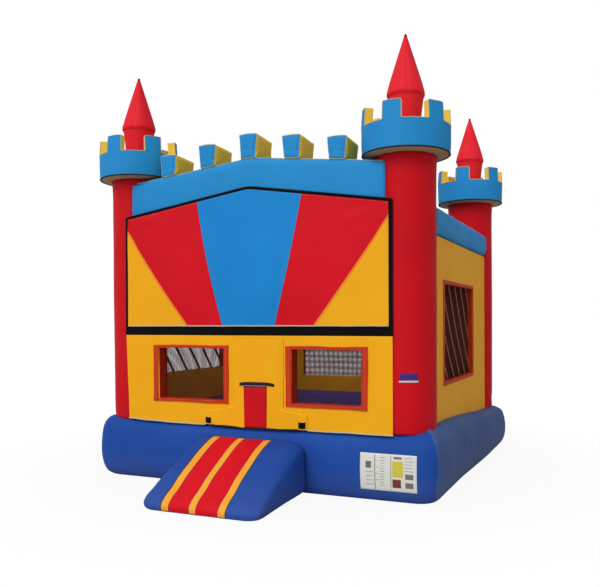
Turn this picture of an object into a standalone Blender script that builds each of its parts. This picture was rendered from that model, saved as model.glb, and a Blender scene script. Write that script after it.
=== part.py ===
"""Inflatable castle bounce house, 13 ft by 13 ft, as separate air chambers, panels and fittings.

Metres, +Z up, the front faces -Y, and the origin is the centre of the base's underside.
What stands on one of the four sides is drawn as if on the front, with its outer face towards
-Y, and then turned about Z by a whole number of quarter turns.
"""
import math

import bmesh
import bpy
from mathutils import Matrix, Vector

# ---- driving dimensions ----------------------------------------------------------------
GAP = 0.0003                # between pieces that touch
FILM = 0.03                 # wall of an air chamber
BASE_HALF = 1.98            # base tubes, outer face to the centre
BASE_INNER = 1.30           # base tubes, inner face to the centre
BASE_TOP = 0.684
FLOOR_TOP = 0.55
COLUMN_AT = 1.63            # column axes, from the centre along X and Y
COLUMN_R = 0.30
COLUMN_TOP = 3.4097
TURRET_R = 0.449
TURRET_LOW = 3.41
TURRET_FLOOR = 3.47
CRENEL_Z = 3.70
TURRET_TOP = 3.88
SPIRE_R = 0.193
NECK_R = 0.14
SPIRE_TOP = 4.654
ROUND_SIDES = 32

WALL_FACE = 1.945           # front wall, outer face
FRONT_HALF = 1.584          # half width of the front wall and of the art panel's border
FRONT_WALL_TOP = 1.628
SIDE_FACE = 1.86            # side and rear walls, outer face
SIDE_WALL_TOP = 2.6597
BEAM_END = 1.50

GABLE_PEAK = 3.20           # top of the art panel's border
GABLE_SLOPE = 0.1527
CREST_PEAK = 3.52           # top of the front beam, which passes just under the turrets
CREST_SLOPE = 0.109

DOORWAY_X = (-0.18, 0.38)   # doorway in the front wall, a little right of the middle
DOOR_AT = 0.10              # the door flap's middle
DOOR_TOP = 1.55
FLAP_BACK = 1.958           # back face of the door flap, and its hinge line
FLAP_TOP = 1.60
FLAP_THICK = 0.008

WINDOW_X = {"left": (-1.13, -0.30), "right": (0.50, 1.265)}      # front windows, clear opening
WINDOW_Z = (0.93, 1.487)
SIDE_WINDOW_Y = (-0.985, 0.57)  # side windows, clear opening, front to rear
SIDE_WINDOW_Z = (1.115, 2.175)
REAR_WINDOW_X = (-1.05, 1.05)
REAR_WINDOW_Z = (0.92, 2.20)
NET = 0.003

RAMP_X = (-0.575, 0.675)
RING_HALF = 0.05            # anchor D-ring, half of its straight bar
RING_WIRE = 0.004           # its bar's radius
SLOT = 0.0048               # half of the slot that the bar turns in
SLEEVE_AT = (-1.0, 0.158)   # inflation sleeve's axis, X and Z, behind the base
SLEEVE_R = 0.15
SLEEVE_END = 2.55

FRONT, RIGHT, REAR, LEFT = 0, 1, 2, 3      # quarter turns about Z

RED = (0.60, 0.008, 0.015)
YELLOW = (0.89, 0.42, 0.013)
SKY = (0.03, 0.23, 0.56)
ROYAL = (0.017, 0.053, 0.30)
BLACK = (0.006, 0.006, 0.007)
ORANGE_RED = (0.55, 0.03, 0.012)
NET_DARK = (0.05, 0.04, 0.04)
WHITE = (0.80, 0.80, 0.78)
VIOLET = (0.08, 0.03, 0.20)
STEEL = (0.55, 0.56, 0.58)


def clear_scene():
    """Remove what the new file opens with."""
    for obj in list(bpy.data.objects):
        bpy.data.objects.remove(obj, do_unlink=True)


def finish(name, colour, roughness=0.45, metallic=0.0):
    """A plain Principled material, made once per name."""
    material = bpy.data.materials.get(name)
    if material is None:
        material = bpy.data.materials.new(name)
        material.use_nodes = True
        shader = material.node_tree.nodes["Principled BSDF"]
        shader.inputs["Base Color"].default_value = (*colour, 1.0)
        shader.inputs["Roughness"].default_value = roughness
        shader.inputs["Metallic"].default_value = metallic
    return material


def place(name, bm, material, quarter=FRONT, origin=(0, 0, 0), smooth=False):
    """Turn a mesh drawn on the front to its side and put it in the scene as one object.

    origin is where a moving piece's own origin goes, on its joint's axis.
    """
    bmesh.ops.transform(bm, matrix=Matrix.Rotation(math.radians(90 * quarter), 4, "Z"), verts=bm.verts)
    bmesh.ops.translate(bm, vec=-Vector(origin), verts=bm.verts)
    bmesh.ops.recalc_face_normals(bm, faces=bm.faces)
    mesh = bpy.data.meshes.new(name)
    bm.to_mesh(mesh)
    bm.free()
    if smooth:
        mesh.shade_smooth()
        mesh.set_sharp_from_angle(angle=math.radians(35))
    obj = bpy.data.objects.new(name, mesh)
    obj.location = origin
    obj.data.materials.append(material)
    bpy.context.scene.collection.objects.link(obj)
    return obj


def blocks(xs, ys, zs, solid, spot=None, around=False):
    """A closed solid from the filled cells of a grid.

    xs, ys and zs are the grid's lines, solid(i, j, k) says whether a cell is filled, and spot
    moves a grid point to its place. around joins the last line of xs to the first.
    """
    spot = spot or (lambda x, y, z: (x, y, z))
    nx, ny, nz = len(xs) - (0 if around else 1), len(ys) - 1, len(zs) - 1
    bm = bmesh.new()
    corners = {}

    def corner(i, j, k):
        key = (i % len(xs) if around else i, j, k)
        if key not in corners:
            corners[key] = bm.verts.new(spot(xs[key[0]], ys[j], zs[k]))
        return corners[key]

    def filled(i, j, k):
        if around:
            i %= nx
        return 0 <= i < nx and 0 <= j < ny and 0 <= k < nz and solid(i, j, k)

    for i in range(nx):
        for j in range(ny):
            for k in range(nz):
                if not filled(i, j, k):
                    continue
                for axis in range(3):
                    for step in (0, 1):
                        beside = [i, j, k]
                        beside[axis] += 1 if step else -1
                        if filled(*beside):
                            continue
                        low = [i, j, k]
                        low[axis] += step
                        a, b = [n for n in range(3) if n != axis]
                        loop = []
                        for da, db in ((0, 0), (1, 0), (1, 1), (0, 1)):
                            at = list(low)
                            at[a] += da
                            at[b] += db
                            loop.append(corner(*at))
                        bm.faces.new(loop)
    return bm


def box(low, high):
    """A plain closed box."""
    return blocks((low[0], high[0]), (low[1], high[1]), (low[2], high[2]), lambda i, j, k: True)


def prism(outline, near, far, upright="Y"):
    """Extrude an outline: (x, z) points along Y, or (y, z) points along X."""
    bm = bmesh.new()
    ends = []
    for depth in (near, far):
        if upright == "Y":
            ends.append([bm.verts.new((a, depth, b)) for a, b in outline])
        else:
            ends.append([bm.verts.new((depth, a, b)) for a, b in outline])
    count = len(outline)
    for n in range(count):
        m = (n + 1) % count
        bm.faces.new((ends[0][n], ends[0][m], ends[1][m], ends[1][n]))
    bm.faces.new(ends[0])
    bm.faces.new(list(reversed(ends[1])))
    return bm


def pipe(outer, inner, stations):
    """An open-ended tube between two closed sections, swept through the stations.

    Each station turns a section's (depth, height) point into its place.
    """
    bm = bmesh.new()
    count = len(outer)
    rings = [[[bm.verts.new(station(d, h)) for d, h in loop] for loop in (outer, inner)]
             for station in stations]
    for here, there in zip(rings, rings[1:]):
        for wall in (0, 1):
            for n in range(count):
                m = (n + 1) % count
                bm.faces.new((here[wall][n], here[wall][m], there[wall][m], there[wall][n]))
    for ring in (rings[0], rings[-1]):
        for n in range(count):
            m = (n + 1) % count
            bm.faces.new((ring[0][n], ring[0][m], ring[1][m], ring[1][n]))
    return bm


def turned(profile, centre, sides=ROUND_SIDES):
    """A closed solid of revolution about a vertical axis; the profile's ends may be on the axis."""
    bm = bmesh.new()
    rings = []
    for radius, z in profile:
        if radius == 0:
            rings.append([bm.verts.new((centre[0], centre[1], z))] * sides)
            continue
        rings.append([bm.verts.new((centre[0] + radius * math.cos(math.tau * n / sides),
                                    centre[1] + radius * math.sin(math.tau * n / sides), z))
                      for n in range(sides)])
    for low, high in zip(rings, rings[1:]):
        for n in range(sides):
            m = (n + 1) % sides
            loop = list(dict.fromkeys((low[n], low[m], high[m], high[n])))
            bm.faces.new(loop)
    for end, (radius, _) in ((rings[0], profile[0]), (rings[-1], profile[-1])):
        if radius:
            bm.faces.new(end)
    return bm


def shrunk(section, thickness):
    """The inner loop of a section's wall: each point moved towards the section's middle."""
    middle = [sum(point[n] for point in section) / len(section) for n in (0, 1)]
    reach = [max(abs(point[n] - middle[n]) for point in section) for n in (0, 1)]
    return [tuple(middle[n] + (point[n] - middle[n]) * (1 - thickness / reach[n]) for n in (0, 1))
            for point in section]


def rounded(low, high, radius, steps=3):
    """The (depth, height) points of a rectangle with round corners."""
    points = []
    for turn, (d, h) in enumerate(((high[0], high[1]), (low[0], high[1]), (low[0], low[1]), (high[0], low[1]))):
        cx = d - radius if d == high[0] else d + radius
        cz = h - radius if h == high[1] else h + radius
        for n in range(steps + 1):
            angle = math.radians(90 * turn + 90 * n / steps)
            points.append((cx + radius * math.cos(angle), cz + radius * math.sin(angle)))
    return points


def column_cutters():
    """Guides that cut beams and walls back to the columns they meet."""
    cutters = []
    for sx in (-1, 1):
        for sy in (-1, 1):
            bm = turned(((COLUMN_R + GAP, 0.5), (COLUMN_R + GAP, 3.9)), (sx * COLUMN_AT, sy * COLUMN_AT))
            cutter = place(f"column_cutter_{len(cutters)}", bm, finish("guide", WHITE))
            cutter.hide_render = True
            cutter.display_type = "WIRE"
            cutters.append(cutter)
    return cutters


def cut_at_columns(obj, cutters):
    """Cut one object back to every column."""
    for cutter in cutters:
        modifier = obj.modifiers.new(cutter.name, "BOOLEAN")
        modifier.operation = "DIFFERENCE"
        modifier.solver = "EXACT"
        modifier.object = cutter


# ---- base --------------------------------------------------------------------------------
BASE_SECTION = (
    (BASE_INNER, 0.0), (1.82, 0.0), (1.93, 0.05), (1.975, 0.14), (BASE_HALF, 0.22), (BASE_HALF, 0.46),
    (1.955, 0.56), (1.90, 0.635), (1.83, 0.675), (1.74, BASE_TOP), (BASE_INNER, BASE_TOP),
)


def base_tubes():
    """Four bumper tubes, mitred at the corners, that the columns and walls stand on."""
    inner = shrunk(BASE_SECTION, FILM)
    for quarter, side in ((FRONT, "front"), (RIGHT, "right"), (REAR, "rear"), (LEFT, "left")):
        ends = [lambda d, h, s=sign: (s * (d - GAP), -d, h) for sign in (-1, 1)]
        place(f"base_{side}", pipe(BASE_SECTION, inner, ends), finish("royal_vinyl", ROYAL), quarter, smooth=True)


def bounce_floor():
    """The jumping mattress inside the base tubes: a hollow box with an air port on two sides."""
    half = BASE_INNER - 2 * GAP
    plan = (-half, FILM - half, -0.15, 0.15, half - FILM, half)
    levels = (0.0, FILM, 0.20, 0.35, FLOOR_TOP - FILM, FLOOR_TOP)

    def solid(i, j, k):
        hollow = 1 <= i <= 3 and 1 <= j <= 3 and 1 <= k <= 3
        port = i in (0, 4) and j == 2 and k == 2
        return not (hollow or port)

    place("bounce_floor", blocks(plan, plan, levels, solid), finish("royal_vinyl", ROYAL))


# ---- columns, turrets and spires ---------------------------------------------------------
CORNERS = (("front_left", -1, -1), ("front_right", 1, -1), ("rear_left", -1, 1), ("rear_right", 1, 1))
TURRET_RADII = (0.10, 0.30, 0.36, TURRET_R)
TURRET_LEVELS = (TURRET_LOW, TURRET_FLOOR, CRENEL_Z, TURRET_TOP)
MERLON_COUNT = 6
MERLON_HALF_ANGLE = 12.5     # degrees
MERLON_PHASE = -92.0         # the front merlon's middle, about the turret's axis
SKIRT_RISE = 0.025           # the turret's underside is this much higher at its rim


def column(corner, sx, sy):
    """One round air column, open into the base below and the turret above."""
    circle = [(COLUMN_R * math.cos(math.tau * n / ROUND_SIDES), COLUMN_R * math.sin(math.tau * n / ROUND_SIDES))
              for n in range(ROUND_SIDES)]
    ends = [lambda a, b, z=level: (sx * COLUMN_AT + a, sy * COLUMN_AT + b, z)
            for level in (BASE_TOP + GAP, COLUMN_TOP)]
    shell = pipe(circle, shrunk(circle, FILM), ends)
    place(f"column_{corner}", shell, finish("red_vinyl", RED), smooth=True)


def turret(corner, sx, sy):
    """A round cup with six merlons, one of them facing the front."""
    angles = []
    gap_step = (360 / MERLON_COUNT - 2 * MERLON_HALF_ANGLE) / 3
    for merlon in range(MERLON_COUNT):
        middle = merlon * 360 / MERLON_COUNT + MERLON_PHASE
        angles += [middle - MERLON_HALF_ANGLE, middle, middle + MERLON_HALF_ANGLE]
        angles += [middle + MERLON_HALF_ANGLE + gap_step * n for n in (1, 2)]

    def solid(i, j, k):
        if k == 0:
            return True
        return j == 2 and (k == 1 or i % 5 < 2)

    def spot(angle, radius, z):
        if z == TURRET_LOW and radius == TURRET_R:
            z += SKIRT_RISE
        a = math.radians(angle)
        return (sx * COLUMN_AT + radius * math.cos(a), sy * COLUMN_AT + radius * math.sin(a), z)

    cup = blocks(angles, TURRET_RADII, TURRET_LEVELS, solid, spot, around=True)
    place(f"turret_{corner}", cup, finish("sky_vinyl", SKY), smooth=True)


def spire(corner, sx, sy):
    """A pointed cone on a round neck that stands on the turret's floor."""
    profile = ((NECK_R, TURRET_FLOOR + GAP), (NECK_R, 4.00), (0.185, 4.022), (SPIRE_R, 4.05), (0.188, 4.095),
               (0.014, SPIRE_TOP - 0.012), (0, SPIRE_TOP))
    place(f"spire_{corner}", turned(profile, (sx * COLUMN_AT, sy * COLUMN_AT), 24), finish("red_vinyl", RED),
          smooth=True)


# ---- beams and merlons -------------------------------------------------------------------
def beams(cutters):
    """The gabled front beam and three level ones, each a tube between two columns."""
    section = rounded((1.50, CREST_PEAK - 0.44), (1.93, CREST_PEAK), 0.07)
    stations = [lambda d, h, x=at: (x, -d, h - CREST_SLOPE * abs(x)) for at in (-BEAM_END, 0, BEAM_END)]
    front = place("beam_front", pipe(section, shrunk(section, FILM), stations), finish("sky_vinyl", SKY),
                  smooth=True)
    cut_at_columns(front, cutters)
    section = rounded((1.52, SIDE_WALL_TOP + GAP), (1.90, 2.97), 0.12)
    for quarter, side in ((RIGHT, "right"), (REAR, "rear"), (LEFT, "left")):
        stations = [lambda d, h, x=at: (x, -d, h) for at in (-BEAM_END, BEAM_END)]
        beam = place(f"beam_{side}", pipe(section, shrunk(section, FILM), stations),
                     finish("sky_vinyl", SKY), quarter, smooth=True)
        cut_at_columns(beam, cutters)


MERLON_PITCH = 0.505
MERLON_SHIFT = -0.02         # the row's middle, off the castle's
MERLON_TOP = 3.765
MERLON_TOP_SLOPE = 0.13


def beam_merlons():
    """Five flared blocks on the front beam, their undersides along its crest."""
    for index in range(5):
        x = (index - 2) * MERLON_PITCH + MERLON_SHIFT
        foot = [x - 0.095, x + 0.095]
        if foot[0] < 0 < foot[1]:
            foot.insert(1, 0.0)
        outline = [(at, CREST_PEAK + GAP - CREST_SLOPE * abs(at)) for at in foot]
        top = MERLON_TOP - MERLON_TOP_SLOPE * abs(x)
        outline += [(x + 0.1075, top), (x - 0.1075, top)]
        place(f"merlon_{index + 1}", prism(outline, -1.905, -1.515), finish("yellow_vinyl", YELLOW))


# ---- walls, windows and nets -------------------------------------------------------------
def gable(x, drop=0.0):
    """Height of the front gable's slope at x, less drop."""
    return GABLE_PEAK - drop - GABLE_SLOPE * abs(x)


def front_wall(cutters):
    """Front wall with two windows and the doorway between them."""
    xs = (-FRONT_HALF, *WINDOW_X["left"], *DOORWAY_X, *WINDOW_X["right"], FRONT_HALF)
    zs = (BASE_TOP + GAP, WINDOW_Z[0], WINDOW_Z[1], DOOR_TOP, FRONT_WALL_TOP)

    def solid(i, j, k):
        window = i in (1, 5) and k == 1
        doorway = i == 3 and k < 3
        return not (window or doorway)

    wall = place("wall_front", blocks(xs, (-WALL_FACE, -1.80), zs, solid), finish("yellow_vinyl", YELLOW))
    cut_at_columns(wall, cutters)


def windowed_wall(side, quarter, across, heights, cutters):
    """A side or rear wall with one window; across is its span along the wall."""
    xs = (-BEAM_END, across[0], across[1], BEAM_END)
    zs = (BASE_TOP + GAP, heights[0], heights[1], SIDE_WALL_TOP)
    bm = blocks(xs, (-SIDE_FACE, -1.78), zs, lambda i, j, k: not (i == 1 and k == 1))
    cut_at_columns(place(f"wall_{side}", bm, finish("yellow_vinyl", YELLOW), quarter), cutters)


def window_frame(name, quarter, across, heights, band, face):
    """A flat band around a window, on the wall's outer face."""
    xs = (across[0] - band[0], across[0], across[1], across[1] + band[0])
    zs = (heights[0] - band[1], heights[0], heights[1], heights[1] + band[1])
    bm = blocks(xs, (-face - 0.007 - GAP, -face - GAP), zs, lambda i, j, k: not (i == 1 and k == 1))
    place(name, bm, finish("orange_red_vinyl", ORANGE_RED), quarter)


def window_net(name, quarter, across, heights, back):
    """A net stretched across a window's opening, near the wall's inner face."""
    low = (across[0] + 2 * GAP, -back - NET, heights[0] + 2 * GAP)
    high = (across[1] - 2 * GAP, -back, heights[1] - 2 * GAP)
    place(name, box(low, high), finish("net", NET_DARK, 0.8), quarter)


def windows():
    """Frames and nets of the front, side and rear windows."""
    for side, across in WINDOW_X.items():
        window_frame(f"front_window_frame_{side}", FRONT, across, WINDOW_Z, (0.063, 0.035), WALL_FACE)
        window_net(f"front_window_net_{side}", FRONT, across, WINDOW_Z, 1.815)
    for side, quarter in (("right", RIGHT), ("left", LEFT)):
        across = side_span(quarter)
        window_frame(f"side_window_frame_{side}", quarter, across, SIDE_WINDOW_Z, (0.04, 0.04), SIDE_FACE)
        window_net(f"side_window_net_{side}", quarter, across, SIDE_WINDOW_Z, 1.80)
    window_net("rear_window_net", REAR, REAR_WINDOW_X, REAR_WINDOW_Z, 1.80)


def side_span(quarter):
    """The side window's span along its wall as drawn on the front."""
    if quarter == RIGHT:
        return SIDE_WINDOW_Y
    return (-SIDE_WINDOW_Y[1], -SIDE_WINDOW_Y[0])


# ---- art panel ---------------------------------------------------------------------------
BORDER_SIDE = 0.055
BORDER_BOTTOM = 0.108
BORDER_TOP = 0.05
PANEL_LAP = 0.015            # the art panel covers this much of its border
NET_FACE = 1.936
BORDER_FACE = 1.944
PANEL_FACE = 1.952


def gabled(half, bottom, drop, near, far):
    """A flat sheet with the front gable's outline, drop below it."""
    outline = ((-half, bottom), (half, bottom), (half, gable(half, drop)), (0, gable(0, drop)),
               (-half, gable(half, drop)))
    return prism(outline, near, far)


def art_panel():
    """Upper net, the hook-and-loop border on it and the removable panel that the border holds."""
    foot = FRONT_WALL_TOP + GAP
    place("upper_net", gabled(FRONT_HALF, foot, 0, -NET_FACE, -1.93 - 2 * GAP), finish("net", NET_DARK, 0.8))
    half = FRONT_HALF - BORDER_SIDE
    xs = (-FRONT_HALF, -half, 0, half, FRONT_HALF)
    zs = (foot, foot + BORDER_BOTTOM, BORDER_TOP, 0.0)

    def spot(x, y, z):
        return (x, y, z) if z >= foot else (x, y, gable(x, z))

    border = blocks(xs, (-BORDER_FACE, -NET_FACE - GAP), zs, lambda i, j, k: i in (0, 3) or k != 1, spot)
    place("panel_border", border, finish("hook_and_loop", BLACK, 0.9))
    bottom = foot + BORDER_BOTTOM - PANEL_LAP
    panel = gabled(half + PANEL_LAP, bottom, BORDER_TOP - PANEL_LAP, -PANEL_FACE, -BORDER_FACE - GAP)
    place("art_panel", panel, finish("sky_vinyl", SKY), origin=(0, -PANEL_FACE, 2.4))


# ---- door flap ---------------------------------------------------------------------------
def door_flap():
    """The hanging flap with its pull, stripe and hook-and-loop tabs; it swings on its top edge."""
    hinge = (DOOR_AT, -FLAP_BACK, FLAP_TOP)
    face = FLAP_BACK + FLAP_THICK
    outline = ((-0.53, 0.70), (0.68, 0.70), (0.68, 0.83), (DOOR_AT + 0.31, 0.86), (DOOR_AT + 0.31, FLAP_TOP),
               (DOOR_AT - 0.31, FLAP_TOP), (DOOR_AT - 0.31, 0.86), (-0.53, 0.83))
    place("door_flap", prism(outline, -face, -FLAP_BACK), finish("yellow_vinyl", YELLOW), origin=hinge)
    trim_back = -face - GAP
    pull = box((-0.095, trim_back - 0.008, 1.1075), (0.315, trim_back, 1.1425))
    place("door_pull", pull, finish("black_webbing", BLACK, 0.8), origin=hinge)
    stripe = box((-0.044, trim_back - 0.0025, 0.701), (0.228, trim_back, 1.10))
    place("door_stripe", stripe, finish("red_vinyl", RED), origin=hinge)
    for side, inner, outer in (("left", -0.523, -0.444), ("right", 0.585, 0.664)):
        tab = box((inner, trim_back - 0.006, 0.712), (outer, trim_back, 0.762))
        place(f"door_tab_{side}", tab, finish("hook_and_loop", BLACK, 0.9), origin=hinge)


# ---- ramp and base fittings --------------------------------------------------------------
def entry_ramp():
    """The step-up ramp in front of the doorway, its back along the base tube's bulge."""
    clear = 2 * GAP
    back = [(-d - clear, h) for d, h in BASE_SECTION[1:7]] + [(-1.930 - clear, 0.598)]
    slope = [(-2.02, 0.600), (-2.20, 0.545), (-2.45, 0.425), (-2.70, 0.290), (-2.87, 0.190), (-2.96, 0.120),
             (-3.0, 0.055), (-2.98, 0.0)]
    bm = prism(back + slope, *RAMP_X, upright="X")
    place("entry_ramp", bm, finish("royal_vinyl", ROYAL), smooth=True)


def info_panel():
    """The printed care panel on the base's front."""
    low = (1.26, -BASE_HALF - 0.004, 0.135)
    place("info_panel", box(low, (1.83, -BASE_HALF - GAP, 0.495)), finish("white_vinyl", WHITE))


def column_handle():
    """A sewn patch with a webbing handle on the front right column."""
    middle = math.radians(-70)

    def spot(across, radius, z):
        angle = middle + across / COLUMN_R
        return (COLUMN_AT + radius * math.cos(angle), -COLUMN_AT + radius * math.sin(angle), z)

    def tapered(across, radius, z):
        return spot(across * (1.0 if z < 1.25 else 0.82), radius, z)

    xs = [-0.095 + 0.19 * n / 6 for n in range(7)]
    # Flat facets between the grid's lines dip inside their radius, so the sewn side starts outside the column.
    sewn = COLUMN_R + 0.001
    patch = blocks(xs, (sewn, 0.305), (1.201, 1.275), lambda i, j, k: True, tapered)
    place("column_patch", patch, finish("violet_vinyl", VIOLET))
    strap = blocks(xs, (sewn, 0.312), (1.18, 1.2005), lambda i, j, k: True, spot)
    place("column_strap", strap, finish("pale_webbing", WHITE, 0.8))


ANCHOR_AT = ((1.60, 0.30), (-1.60, 0.30))       # distance along the rear, and height of the ring's bar


def anchors():
    """Rear anchor patches, each with a keeper loop, and the steel D-rings that swing in them."""
    for number, (x, z) in enumerate(ANCHOR_AT, 1):
        plate, bar = BASE_HALF + GAP, BASE_HALF + GAP + 0.004 + SLOT
        xs = (-x - 0.07, -x - 0.03, -x + 0.03, -x + 0.07)
        ys = (-bar - SLOT - 0.004, -bar - SLOT, -bar + SLOT, -plate)
        zs = (z - 0.045, z - SLOT - 0.006, z - SLOT, z + SLOT, z + SLOT + 0.006, z + 0.045)

        def solid(i, j, k):
            if j == 2:
                return True
            return i == 1 and 1 <= k <= 3 and not (j == 1 and k == 2)

        place(f"anchor_patch_{number}", blocks(xs, ys, zs, solid), finish("royal_vinyl", ROYAL), REAR)
        anchor_ring(f"anchor_ring_{number}", x, bar, z)


def anchor_ring(name, x, y, z):
    """A D-ring: a straight bar in the keeper and a half circle of wire hanging from it."""
    inset = 0.006
    reach = RING_HALF - inset
    points = [(-RING_HALF + inset, 0), (-RING_HALF / 3, 0), (RING_HALF / 3, 0), (RING_HALF - inset, 0)]
    for n in range(1, 12):
        angle = -math.pi * n / 12
        points.append((RING_HALF * math.cos(angle), RING_HALF * math.sin(angle) * reach / RING_HALF - inset / 2))
    curve = bpy.data.curves.new(name, "CURVE")
    curve.dimensions = "3D"
    curve.bevel_depth = RING_WIRE
    curve.bevel_resolution = 2
    spline = curve.splines.new("POLY")
    spline.points.add(len(points) - 1)
    for point, (a, b) in zip(spline.points, points):
        point.co = (a, 0, b, 1)
    spline.use_cyclic_u = True
    spline.use_smooth = True
    curve.materials.append(finish("steel", STEEL, 0.3, 1.0))
    ring = bpy.data.objects.new(name, curve)
    ring.location = (x, y, z)
    bpy.context.scene.collection.objects.link(ring)


def inflation_sleeve():
    """The blower's sleeve behind the base, and the strap that ties it."""
    x, z = SLEEVE_AT
    circle = [(math.cos(math.tau * n / 24), math.sin(math.tau * n / 24)) for n in range(24)]

    def ring_tube(inner, outer, near, far):
        ends = [lambda a, b, y=at: (x + a, y, z + b) for at in (near, far)]
        return pipe([(outer * a, outer * b) for a, b in circle], [(inner * a, inner * b) for a, b in circle], ends)

    sleeve = ring_tube(SLEEVE_R - 0.006, SLEEVE_R, BASE_HALF + GAP, SLEEVE_END)
    place("inflation_sleeve", sleeve, finish("royal_vinyl", ROYAL), smooth=True)
    # A 24-sided ring's flats lie inside its radius, so the strap starts outside the sleeve's corners.
    strap = ring_tube(SLEEVE_R + 0.003, SLEEVE_R + 0.007, 2.40, 2.44)
    place("sleeve_strap", strap, finish("black_webbing", BLACK, 0.8), smooth=True)


def deflation_zip():
    """The zip that lets the air out, on the base's rear, and its slider."""
    face = BASE_HALF + GAP
    tape = box((0.20, face, 0.30), (1.10, face + 0.004, 0.36))
    place("zip_tape", tape, finish("black_webbing", BLACK, 0.8))
    start = (0.25, face + 0.004, 0.33)
    slider = box((0.235, start[1] + GAP, 0.315), (0.28, start[1] + 0.012, 0.345))
    place("zip_slider", slider, finish("steel", STEEL, 0.3, 1.0), origin=start)


def build():
    """Build every piece."""
    clear_scene()
    cutters = column_cutters()
    base_tubes()
    bounce_floor()
    for corner in CORNERS:
        column(*corner)
        turret(*corner)
        spire(*corner)
    beams(cutters)
    beam_merlons()
    front_wall(cutters)
    for side, quarter in (("right", RIGHT), ("left", LEFT)):
        windowed_wall(side, quarter, side_span(quarter), SIDE_WINDOW_Z, cutters)
    windowed_wall("rear", REAR, REAR_WINDOW_X, REAR_WINDOW_Z, cutters)
    windows()
    art_panel()
    door_flap()
    entry_ramp()
    info_panel()
    column_handle()
    anchors()
    inflation_sleeve()
    deflation_zip()


build()
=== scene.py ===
"""Looks of an inflatable castle: film-skinned air chambers, nets, panels and fittings around a fixed frame.

Metres, +Z up, the front faces -Y. A piece of one of the four sides is drawn on the front and then
turned about Z by quarter turns.
"""

import logging
import math
from dataclasses import dataclass, field
from enum import Enum
from typing import Callable, Iterable, Sequence

import bmesh
import bpy
from mathutils import Matrix, Vector, noise


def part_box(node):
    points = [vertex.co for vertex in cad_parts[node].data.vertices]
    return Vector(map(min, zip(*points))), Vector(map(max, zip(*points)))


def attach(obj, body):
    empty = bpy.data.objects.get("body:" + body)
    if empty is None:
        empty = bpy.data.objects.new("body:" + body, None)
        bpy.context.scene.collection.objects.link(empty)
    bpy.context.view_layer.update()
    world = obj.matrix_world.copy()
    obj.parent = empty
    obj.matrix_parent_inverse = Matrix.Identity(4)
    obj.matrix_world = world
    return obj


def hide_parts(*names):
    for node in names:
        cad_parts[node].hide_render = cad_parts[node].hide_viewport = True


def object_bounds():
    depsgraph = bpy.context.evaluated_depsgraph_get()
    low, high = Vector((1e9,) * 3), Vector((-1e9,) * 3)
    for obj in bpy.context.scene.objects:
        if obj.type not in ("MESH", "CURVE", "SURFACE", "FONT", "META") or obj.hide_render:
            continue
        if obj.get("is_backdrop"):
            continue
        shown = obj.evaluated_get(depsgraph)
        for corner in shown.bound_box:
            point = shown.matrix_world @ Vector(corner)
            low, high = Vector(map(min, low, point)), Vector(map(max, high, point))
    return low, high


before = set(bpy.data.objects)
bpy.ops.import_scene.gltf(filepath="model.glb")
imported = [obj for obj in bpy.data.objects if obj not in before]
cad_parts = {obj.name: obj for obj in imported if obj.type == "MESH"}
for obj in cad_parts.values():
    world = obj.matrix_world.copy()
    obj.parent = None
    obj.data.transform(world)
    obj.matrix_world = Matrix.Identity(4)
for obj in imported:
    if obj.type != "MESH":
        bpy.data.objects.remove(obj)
CAD_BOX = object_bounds()
LOG = logging.getLogger("bounce_house")

Point = tuple[float, float, float]
Pair = tuple[float, float]
Colour = tuple[float, float, float]


class Side(Enum):
    """The four sides, as quarter turns about Z from the front."""

    FRONT = 0
    RIGHT = 1
    REAR = 2
    LEFT = 3


class Body(Enum):
    """The moving bodies that a piece rides on."""

    CASTLE = "castle"
    PANEL = "panel"
    DOOR = "door"
    SLIDER = "slider"


# ---- node trees ----
def node(
        tree: bpy.types.NodeTree, kind: str, inputs: dict | None = None, **settings: object) -> bpy.types.Node:
    """Add a node, set it up and join it.

    Args:
        tree: the tree that gets the node.
        kind: the node's type name.
        inputs: values or output sockets for its inputs, by name or number.
        settings: the node's own properties.

    Returns:
        The new node.
    """
    made = tree.nodes.new(kind)
    for key, value in settings.items():
        setattr(made, key, value)
    for key, value in (inputs or {}).items():
        socket = made.inputs[key]
        if isinstance(value, bpy.types.NodeSocket):
            tree.links.new(value, socket)
        else:
            socket.default_value = value
    return made


def math_node(
        tree: bpy.types.NodeTree, operation: str, first: object, second: object = 0.0) -> bpy.types.NodeSocket:
    """Join a Math node and return its output.

    Args:
        tree: the tree that gets the node.
        operation: the Math node's operation.
        first: its first value or socket.
        second: its second value or socket.

    Returns:
        The result's socket.
    """
    return node(tree, "ShaderNodeMath", {0: first, 1: second}, operation=operation).outputs[0]


def sockets(tree: bpy.types.NodeTree, direction: str, kinds: dict[str, str]) -> None:
    """Name a group's inputs or outputs.

    Args:
        tree: the group's tree.
        direction: INPUT or OUTPUT.
        kinds: socket names and their types, without the NodeSocket prefix.
    """
    for name, kind in kinds.items():
        tree.interface.new_socket(name, in_out=direction, socket_type="NodeSocket" + kind)


def group(name: str, kind: str, inputs: dict[str, str], outputs: dict[str, str]) -> tuple:
    """Start a node group.

    Args:
        name: the group's name.
        kind: ShaderNodeTree or GeometryNodeTree.
        inputs: input names and types.
        outputs: output names and types.

    Returns:
        The tree, its input node and its output node.
    """
    tree = bpy.data.node_groups.new(name, kind)
    sockets(tree, "INPUT", inputs)
    sockets(tree, "OUTPUT", outputs)
    return tree, tree.nodes.new("NodeGroupInput"), tree.nodes.new("NodeGroupOutput")


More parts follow.
